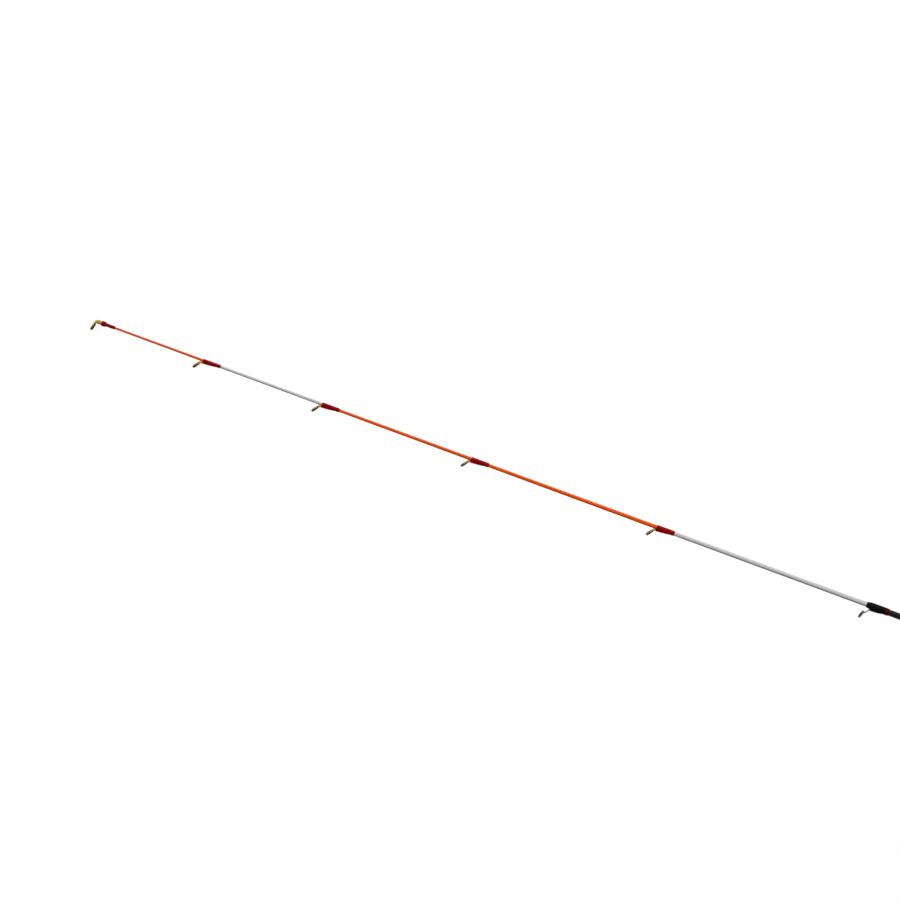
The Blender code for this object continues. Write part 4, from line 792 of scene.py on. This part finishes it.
def foam_finish():
    """Closed-cell foam: matt black, with small cut cells and faint patches of wear."""
    material, tree, shader = finish("ground_foam", (26, 26, 27), 0.9, specular=0.15)
    place = tree.nodes.new("ShaderNodeTexCoord").outputs["Object"]
    cells = add_node(tree, "ShaderNodeTexVoronoi", {"Vector": place, "Scale": 2600},
                     feature="DISTANCE_TO_EDGE")
    walls = add_node(tree, "ShaderNodeMapRange", {
        "Value": cells.outputs["Distance"], "From Max": 0.16}).outputs["Result"]
    wear = noise(tree, 60, 4.0, 0.6)
    tone = computed(tree, "MULTIPLY_ADD", walls, -0.5, spread(tree, wear, 0.55, 1.05))
    textured(tree, shader, (tone, (13, 13, 14), (52, 52, 54)), (wear, 0.82, 0.97), (walls, 0.12, 0.8))
    return material, "grip_foam"


def anodised_finish():
    """Dark anodised aluminium, with the fine rings that turning on a lathe leaves."""
    material, tree, shader = finish("dark_anodised", (66, 66, 68), 0.34, 0.6, specular=0.3)
    turned = add_node(tree, "ShaderNodeTexNoise", {"W": along_mm(tree), "Scale": 14, "Detail": 4},
                      noise_dimensions="1D").outputs["Fac"]
    textured(tree, shader, (turned, (50, 50, 52), (86, 86, 89)), (turned, 0.22, 0.42), (turned, 0.02, 0.5))
    return material, "dark_aluminium"


# moulded rubber: dark, slightly mottled, with a fine spark-eroded skin
SKIN = (3800, 3.0, 0.6)
RUBBER = mottled("moulded_rubber", "cap_rubber", (24, 24, 25), 0.7,
                ((90, 4.0, 0.6), (16, 16, 17), (38, 38, 39)), (SKIN, 0.55, 0.8), (SKIN, 0.06, 0.7),
                specular=0.25)
FOAM, ANODISED = foam_finish(), anodised_finish()


def beside(x, r, *offsets):
    """Points of an outline at (along, outward) offsets, in mm, from the place x and the radius r."""
    return [(x + along * MM, r + outward * MM) for along, outward in offsets]


def blank_bore(start, end, under=0.02 * MM):
    """Points of a bore that lies on the butt blank, or a little under its skin, from end to start."""
    return [(x, butt_radius(x) - under) for x in (end, start)]


def turned_piece(name, corners, fillets, look, body, *nodes):
    """A piece turned about the rod's axis from a closed outline, with corners softened by fillets
    given in mm."""
    grid = revolved(rounded(corners, np.asarray(fillets) * MM), GRIP_SIDES)
    made(name, [grid], look, body, *nodes)


plug_end = ends("butt_cap")[1]
plug_radius = butt_radius(BLANK_X) - BUTT_WALL - FIT
cap_end = ends("rear_grip")[0] - FIT
cap_corners = beside(0, 0, (0.35, 0), (0.35, 6.0), (0, 6.6))
cap_corners += beside(0, CAP_RADIUS, (0, 0), (7.4, 0), (7.4, -0.5), (8.2, -0.5), (8.2, 0), (10.2, 0),
                      (10.2, -0.5), (11.0, -0.5), (11.0, 0))
cap_corners += [(cap_end, CAP_RADIUS), (cap_end, plug_radius), (plug_end, plug_radius), (plug_end, 0)]
CAP_FILLETS = [0, 0.3, 0.3, 4, 0.15, 0.1, 0.1, 0.15, 0.15, 0.1, 0.1, 0.15, 0.3, 0, 0.5, 0]
turned_piece("rubber_butt_cap", cap_corners, CAP_FILLETS, RUBBER, "butt_section", "butt_cap")


def grip_shell(points, bore, steps=9, front_drop=0.5):
    """A grip: its outside is a smooth curve through (x, r) points, whose ends drop by half a mm, or
    by the front drop, and its inside goes through the bore's points."""
    outer = through(points, steps)
    outer[0, 1] -= 0.5 * MM
    outer[-1, 1] -= front_drop * MM
    return revolved(np.vstack([outer, bore]), GRIP_SIDES)


start, end = ends("rear_grip")
GRIP_WAIST = 9.25 * MM
GRIP_RING_WALL = 2.4 * MM
ring_radius = butt_radius(end) + GRIP_RING_WALL
rear_points = [(start, CAP_RADIUS), (start + 0.6 * MM, CAP_RADIUS - 0.02 * MM),
               (start + (end - start) * 0.14, CAP_RADIUS - 0.4 * MM)]
rear_points += [(start + (end - start) * share, GRIP_WAIST + (CAP_RADIUS - GRIP_WAIST) * swell)
                for share, swell in ((0.3, 0.62), (0.48, 0.22), (0.7, 0))]
rear_points += beside(end, ring_radius, (-5, 1), (-1.2, 0.5), (0, 0))
made("foam_rear_grip", [grip_shell(rear_points, blank_bore(start, end))], FOAM, "butt_section",
     "rear_grip")
start, end = ends("mid_grip")
ARBOR_WALL, BARREL_WALL, COLLAR_RISE = 1.9 * MM, 3.1 * MM, 1.6 * MM
SEAT_BORE = butt_radius(end + 0.1 * MM) + ARBOR_WALL
BARREL_RADIUS = SEAT_BORE + BARREL_WALL
COLLAR_RADIUS = BARREL_RADIUS + COLLAR_RISE
mid_points = beside(start, ring_radius, (0, 0), (1.2, 0.5), (6, 1.4))
mid_points += beside(start + (end - start) * 0.55, (ring_radius + COLLAR_RADIUS) / 2, (0, 1))
mid_points += beside(end, COLLAR_RADIUS, (-6, 0.5), (-0.8, 0.1), (0, 0))
made("foam_mid_grip", [grip_shell(mid_points, blank_bore(start, end))], FOAM, "butt_section", "mid_grip")
for name, rear_radius, front_radius in (("rear_grip_ring", ring_radius, ring_radius - 1 * MM),
                                        ("mid_grip_ring", ring_radius - 1 * MM, ring_radius)):
    start, end = ends(name)
    mid_x, mean = (start + end) / 2, (rear_radius + front_radius) / 2
    corners = [(start, rear_radius), (mid_x - 0.35 * MM, mean + (rear_radius - mean) * 0.2)]
    corners += beside(mid_x, mean, (-0.35, -0.25), (0.35, -0.25))
    corners += [(mid_x + 0.35 * MM, mean + (front_radius - mean) * 0.2), (end, front_radius)]
    corners += blank_bore(start, end, 0)
    turned_piece(name + "_turned", corners, [0.35, 0.1, 0.08, 0.08, 0.1, 0.35, 0.1, 0.1], ANODISED,
                 "butt_section", name)

# The reel seat: a moulded barrel round two arbors, with a flat deck below for the reel's foot, a
# screw thread on its front half, and a slot along its top for the moving hood's key.
DECK_DEPTH = SEAT_BORE + 1.8 * MM
SEAT_SIDES = 144
SCREW_PITCH = 2.5 * MM
SCREW_ROW, HIDDEN_ROW = 0.075 * MM, 0.5 * MM
SCREW_DEPTH = 0.42 * MM
BELLY_RISE = 1.3 * MM
KEY_SLOT_HALF = 1.5 * MM
KEY_SLOT_FLOOR = BARREL_RADIUS - 1.2 * MM
seat_start, seat_end = ends("reel_seat_body")
hood_start, hood_end = ends("fixed_hood")
moving_start, moving_end = ends("moving_hood")
TRAVEL = 15 * MM
HOOD_BACK = 6 * MM
belly_end = moving_start - TRAVEL - 2 * MM

# moulded nylon: black satin, with a very fine even grain and slight polish where it is rubbed; and
# the softer plastic of the cushions: dark grey and matt, slightly uneven
RUBBED, UNEVEN = (120, 4.0, 0.55), (700, 4.0, 0.6)
NYLON = mottled("moulded_nylon", "seat_plastic", (24, 24, 26), 0.42, (RUBBED, (17, 17, 19), (36, 36, 39)),
               (RUBBED, 0.3, 0.52), ((5200, 2.0, 0.5), 0.03, 0.6), specular=0.3)
SOFT_PLASTIC = mottled("matt_soft_plastic", "cushion_plastic", (48, 48, 50), 0.62,
                      (UNEVEN, (36, 36, 38), (66, 66, 69)), (UNEVEN, 0.5, 0.75),
                      ((4200, 2.0), 0.04, 0.6), specular=0.2)

slot_edge = math.asin(KEY_SLOT_HALF / BARREL_RADIUS)
slot_angles = [math.pi + side * (slot_edge + off) for off in (-0.004, 0.004) for side in (1, -1)]
deck_edges = np.radians(np.linspace(26, 44, 37))
seat_angles = np.sort(np.concatenate([angles(SEAT_SIDES), slot_angles, deck_edges,
                                      math.tau - deck_edges]))
collar_points = beside(seat_start, COLLAR_RADIUS, (0, -0.5), (0.15, -0.15), (0.5, 0), (2.4, 0),
                       (2.85, -0.2))
collar_points += beside(hood_start, COLLAR_RADIUS, (-0.1, -0.6))
collar_points += beside(hood_start, BARREL_RADIUS, (0, 0), (5.95, 0), (6, 0))
collar_x, collar_r = np.array(collar_points).T
belly_x = np.linspace(hood_end + 0.1 * MM, belly_end, 40)
belly_r = BARREL_RADIUS + BELLY_RISE * np.interp(
    fraction(belly_x, belly_x[0], belly_end), [0, 0.08, 0.16, 0.3, 0.45, 0.6, 0.75, 0.9, 1],
    [0, 0.42, 0.75, 0.94, 1, 0.88, 0.6, 0.24, 0])
screw_x = np.concatenate([np.arange(belly_end + 0.2 * MM, moving_start + 2 * MM, SCREW_ROW),
                          np.arange(moving_start + 2 * MM, seat_end - 0.3 * MM, HIDDEN_ROW)])
seat_x = np.concatenate([collar_x, belly_x, screw_x, [seat_end]])[:, None]
seat_r = np.concatenate([collar_r, belly_r, np.full(len(screw_x) + 1, BARREL_RADIUS)])[:, None]
phase = seat_x / SCREW_PITCH - seat_angles / math.tau
tooth = eased(np.clip(0.5 + 0.85 * np.cos(math.tau * phase), 0, 1))
on_screw = (fraction(seat_x, belly_end, belly_end + 0.8 * MM)
            * fraction(seat_x, seat_end + 0.2 * MM, seat_end - 0.6 * MM))
seat_r = seat_r - SCREW_DEPTH * (1 - tooth) * on_screw
down = np.cos(seat_angles)
deck_here = (seat_x >= hood_start + HOOD_BACK - 1e-6) & (down > 0.3)
seat_r = np.where(deck_here, np.minimum(seat_r, DECK_DEPTH / np.maximum(down, 0.3)), seat_r)
in_slot = (np.abs(seat_angles - math.pi) < slot_edge) & (seat_x > belly_end + 1 * MM)
seat_r = np.where(in_slot, np.minimum(seat_r, KEY_SLOT_FLOOR / np.maximum(-down, 0.3)), seat_r)
seat_r = np.vstack([seat_r, np.full((2, len(seat_angles)), SEAT_BORE)])
seat_x = np.vstack([seat_x, [[seat_end], [seat_start]]])
made("moulded_reel_seat", [wrapped(seat_x, seat_r, seat_angles)], NYLON, "butt_section",
     "reel_seat_body")

# The two hoods, of drawn and anodised aluminium: each a collar round the barrel with a dome below,
# which holds one end of the reel's foot. The front one has a key that runs in the barrel's slot.
HOOD_BORE = BARREL_RADIUS + 0.3 * MM
HOOD_RADIUS = HOOD_BORE + 2 * MM
POCKET_HALF = 6 * MM
POCKET_ROOF = DECK_DEPTH + 6 * MM
ROOF_THICKNESS = 1.6 * MM
HOOD_LENGTH = 17 * MM
HOOD_SIDES = 160
COLLAR_BLEND = 24.0
KEY_RISE, KEY_WIDTH, KEY_HEIGHT = 0.25 * MM, 2.4 * MM, 2.3 * MM


def squared(a, half_width, depth, power):
    """Distance from the axis at angle a to a flat-sided arch: (|sin a|/w)^p + (cos a/d)^p = 1/r^p."""
    cosine = np.maximum(np.cos(a), 1e-4)
    arch = ((np.abs(np.sin(a)) / half_width) ** power + (cosine / depth) ** power) ** (-1 / power)
    return np.where(np.cos(a) > 0, arch, 0)


def hood_shell(back_x, facing, bore):
    """A hood's closed shell. Its outside is the larger of the collar's circle and the dome's arch,
    which sinks to the collar behind the pocket; its inside is the bore or the pocket's arch."""
    a = angles(HOOD_SIDES)
    s = in_mm(0, 0.1, 0.3, 0.6, 1.0, *np.linspace(1.6, 16.0, 44), 16.4, 16.7, 16.9, 17.0)[:, None]
    rise = np.sin(fraction(s, 1.2 * MM, 8.2 * MM) * math.pi / 2)
    depth = straight(rise, 0, 1, HOOD_RADIUS * 0.985, POCKET_ROOF + ROOF_THICKNESS)
    dome = squared(a, (POCKET_HALF + ROOF_THICKNESS) * (0.8 + 0.2 * rise), depth, 5.0)
    outer = (HOOD_RADIUS ** COLLAR_BLEND + dome ** COLLAR_BLEND) ** (1 / COLLAR_BLEND)
    soften = 0.45 * MM * (1 - fraction(np.minimum(s, HOOD_LENGTH - s), 0, 0.6 * MM)) ** 2
    waist = 0.35 * MM * np.exp(-((s - 3.2 * MM) / (0.5 * MM)) ** 2)
    outer = outer - soften - waist * np.exp(-((outer - HOOD_RADIUS) / (0.3 * MM)) ** 2)
    inner_s = in_mm(17.0, 16.8, 16.5, 6.05, 6.0, 0.15, 0.0)[:, None]
    flare = in_mm(0.3, 0.12, 0, 0, 0, 0, 0.15)[:, None]
    pocket = np.maximum(squared(a, POCKET_HALF, POCKET_ROOF, 9.0), bore)
    inner = np.where(inner_s > HOOD_BACK + 0.02 * MM, pocket, bore) + flare
    return wrapped(back_x + facing * np.vstack([s, inner_s]), np.vstack([outer, inner]), a)


made("fixed_hood_shell", [hood_shell(hood_start, 1, BARREL_RADIUS + FIT)], ANODISED, "butt_section",
     "fixed_hood")
key_path = [(x, 0, BARREL_RADIUS + KEY_RISE) for x in (moving_start + 1 * MM, moving_end - 1 * MM)]
key_bar = swept(key_path, ([0], [KEY_WIDTH]), ([0], [KEY_HEIGHT]), sides=32, power=8.0)
made("moving_hood_shell", [hood_shell(moving_end, -1, HOOD_BORE), key_bar], ANODISED, "moving_hood",
     "moving_hood")

# The cushions in the hoods, and the arbors that carry the seat on the blank, keep the solids that
# they have and take the soft plastic.
for name in ("fixed_hood_cushion", "moving_hood_cushion", "seat_rear_arbor", "seat_front_arbor"):
    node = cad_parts[name]
    node.data.materials.clear()
    node.data.materials.append(SOFT_PLASTIC[0])

# The lock nut and the foregrip, which turn as one on the seat's thread: a fluted nylon nut, a thin
# metal ring and a foam sleeve that narrows to the blank.
nut_start, nut_end = ends("lock_nut")
NUT_RADIUS = HOOD_BORE + 2.3 * MM
NUT_FLUTES = 20
FLUTE_DEPTH = 0.55 * MM
nut_angles = angles(NUT_FLUTES * 12)
NUT_PLACES = np.array([0, 0.12, 0.35, 0.7, 1.05, 1.5, 2.2, 3.5, 7.5, 8.8, 9.5, 9.95, 10.3, 10.6, 10.85,
                       11.0])
NUT_EDGES = in_mm(0.85, 0.5, 0.22, 0.05, 0, 0, 0, 0, 0, 0, 0, 0, 0.03, 0.15, 0.32, 0.5)[:, None]
flute_here = fraction(NUT_PLACES, 1.2, 2.8) * fraction(NUT_PLACES, 9.9, 8.3)
valley = np.clip(-0.15 - np.cos(NUT_FLUTES * nut_angles), 0, 1) ** 0.8
nut_r = NUT_RADIUS - NUT_EDGES - FLUTE_DEPTH * valley * flute_here[:, None] ** 0.5
nut_r = np.vstack([nut_r, np.full((2, len(nut_angles)), HOOD_BORE)])
nut_x = np.concatenate([nut_start + NUT_PLACES * MM, [nut_end, nut_start]])[:, None]
made("fluted_lock_nut", [wrapped(nut_x, nut_r, nut_angles)], NYLON, "lock_nut", "lock_nut")
start, end = ends("nut_ring")
ring_corners = beside(start, NUT_RADIUS, (0, 0), (1.1, 0), (1.1, -0.3))
ring_corners += beside(end, NUT_RADIUS, (-1.1, -0.3), (-1.1, 0), (0, 0))
ring_corners += [(end, HOOD_BORE), (start, HOOD_BORE)]
turned_piece("nut_ring_turned", ring_corners, [0.25, 0.12, 0.1, 0.1, 0.12, 0.25, 0.1, 0.1], ANODISED,
             "lock_nut", "nut_ring")
start, end = ends("foregrip")
FOREGRIP_WALL, NOSE_WALL = 2.4 * MM, 2.6 * MM
floor_x = seat_end + TRAVEL + 1 * MM
nose_bore = butt_radius(floor_x - TRAVEL) + 0.3 * MM
shoulder = floor_x + 1 * MM
fall = (1 - np.cos(math.pi * np.linspace(0, 1, 7))) / 2
grip_points = beside(start, HOOD_BORE + FOREGRIP_WALL, (0, -0.4), (1, -0.25), (8, 0.3))
grip_points += list(zip(np.linspace(shoulder, end, 7),
                        straight(fall, 0, 1, HOOD_BORE + FOREGRIP_WALL, nose_bore + NOSE_WALL)))
foregrip_bore = [(end, nose_bore), (floor_x, nose_bore), (floor_x, HOOD_BORE), (start, HOOD_BORE)]
made("foam_foregrip", [grip_shell(grip_points, foregrip_bore, 8, 0.4)], FOAM, "lock_nut", "foregrip")

# The winding check, a stepped ring of turned aluminium that is glued to the blank ahead of the
# foregrip.
start, end = ends("winding_check")
check_radius = butt_radius(start) + 2.4 * MM
check_corners = beside(start, check_radius, (0, 0.6), (1.0, 0.6), (1.3, 0.1), (2.6, -0.3), (2.9, -0.7))
check_corners += [(end, check_radius - 1.5 * MM)] + blank_bore(start, end, 0)
turned_piece("winding_check_turned", check_corners, [0.2, 0.15, 0.2, 0.15, 0.2, 0.2, 0.1, 0.1], ANODISED,
             "butt_section", "winding_check")

# The hook keeper: a small base under two bindings, two ears with a pin through them, and a wire
# bail that folds up against the blank.
keeper_low, keeper_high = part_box("keeper_base")
pin_low, pin_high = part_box("keeper_pin")
bail_low, bail_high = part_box("keeper_bail")
KEEPER_X = (pin_low.x + pin_high.x) / 2
PIN_DEPTH = -(pin_low.z + pin_high.z) / 2
BASE_THICKNESS, BASE_WIDTH = 0.5 * MM, 2.4 * MM
BASE_PLACES, BASE_THINS, BASE_NARROWS = [0, 0.5, 1], [1, 1, 0.5], [1, 1, 0.7]
EAR_HALF, EAR_THICKNESS, EAR_INNER = 1.3 * MM, 0.7 * MM, 1.45 * MM
SADDLE_THICKNESS = 0.5 * MM
HUB_RADIUS, HUB_HALF = 1.1 * MM, 1.4 * MM
WIRE = 0.9 * MM
base_x = np.linspace(keeper_low.x, keeper_high.x, 30)
base_share = np.abs(base_x - KEEPER_X) / (keeper_high.x - KEEPER_X)
base_thickness = BASE_THICKNESS * np.interp(base_share, BASE_PLACES, BASE_THINS)
base_width = BASE_WIDTH * np.interp(base_share, BASE_PLACES, BASE_NARROWS)
base_path = np.stack([base_x, 0 * base_x, -(butt_radius(base_x) + FIT + base_thickness / 2)], -1)
even_places = np.linspace(0, 1, len(base_x))
surface = butt_radius(KEEPER_X) + FIT
saddle_path = [(KEEPER_X + side * EAR_HALF, 0, -surface - 0.27 * MM) for side in (-1, 1)]
keeper_shells = [
    swept(base_path, (even_places, base_width), (even_places, base_thickness)),
    swept(saddle_path, ([0], [2 * (EAR_INNER + EAR_THICKNESS)]), ([0], [SADDLE_THICKNESS]), sides=32,
          power=8.0)]
turns = np.linspace(0, math.pi, 17)
ear_outline = np.vstack([np.stack([EAR_HALF * np.cos(turns), -PIN_DEPTH - EAR_HALF * np.sin(turns)], -1),
                         [(-EAR_HALF, -surface - 0.3 * MM), (EAR_HALF, -surface - 0.3 * MM)]])
ear_x, ear_z = ear_outline.T
ear_middle = -(PIN_DEPTH + surface) / 2
EAR_ROWS = ((0, 0.9), (0.08, 0.97), (0.2, 1), (0.8, 1), (0.92, 0.97), (1, 0.9))
for side in (1, -1):
    cheek = [np.column_stack([KEEPER_X + ear_x * size,
                              np.full(len(ear_x), side * (EAR_INNER + EAR_THICKNESS * share)),
                              ear_middle + (ear_z - ear_middle) * size]) for share, size in EAR_ROWS]
    keeper_shells.append(capped(np.stack(cheek)))
made("keeper_base_plate", keeper_shells, ANODISED, "butt_section", "keeper_base")


def across_turned(corners, fillet, sides):
    """A shell turned about the pin's own axis, across the rod, from an outline of (y, r)."""
    grid = revolved(rounded(corners, fillet), sides)
    return np.stack([grid[..., 1] + KEEPER_X, grid[..., 0], grid[..., 2] - PIN_DEPTH], -1)


pin_reach, pin_radius = pin_high.y, 0.5 * MM
pin_corners = [(-pin_reach, 0), (-pin_reach, pin_radius), (pin_reach, pin_radius), (pin_reach, 0)]
made("keeper_turned_pin", [across_turned(pin_corners, 0.15 * MM, 32)], STEEL, "butt_section", "keeper_pin")
hub_bore = pin_radius + FIT
hub = across_turned([(-HUB_HALF, HUB_RADIUS), (HUB_HALF, HUB_RADIUS), (HUB_HALF, hub_bore),
                     (-HUB_HALF, hub_bore)], 0.2 * MM, 40)
loop_half = (bail_high.y - bail_low.y) / 2 - WIRE / 2
bend_x = bail_high.x - KEEPER_X - WIRE / 2 - loop_half
bow = [(x, HUB_HALF - WIRE / 2) for x in (HUB_RADIUS * 0.75, 1.2 * MM, 2.05 * MM)]
bow += [(2.9 * MM, 1.75 * MM), (3.9 * MM, loop_half - 0.15 * MM)]
bow += [(bend_x + loop_half * math.cos(t), loop_half * math.sin(t)) for t in np.linspace(math.pi / 2, 0, 6)]
bow += [(x, -y) for x, y in bow[-2::-1]]
wire_path = through([(KEEPER_X + x, y, -PIN_DEPTH) for x, y in bow], 6)
wire_side = np.cross(unit(np.gradient(wire_path, axis=0)), (0, 0, 1))
wire_bar = swept(wire_path, ([0], [WIRE]), ([0], [WIRE]), wire_side, power=2.0)
made("keeper_wire_bail", [hub, wire_bar], STEEL, "keeper_bail", "keeper_bail")


def keeper_foot(x):
    """Half width and depth of the keeper's base under its bindings."""
    share = np.abs(x - KEEPER_X) / (keeper_high.x - KEEPER_X)
    fade = fraction(share, 1.06, 0.98)
    thickness = BASE_THICKNESS * np.interp(share, BASE_PLACES, BASE_THINS)
    return (BASE_WIDTH / 2 * np.interp(share, BASE_PLACES, BASE_NARROWS) * fade,
            butt_radius(x) + (FIT + thickness) * fade)


for node in ("keeper_rear_wrap", "keeper_front_wrap"):
    bound(node, BLACK_THREAD, ON_BUTT, keeper_foot)
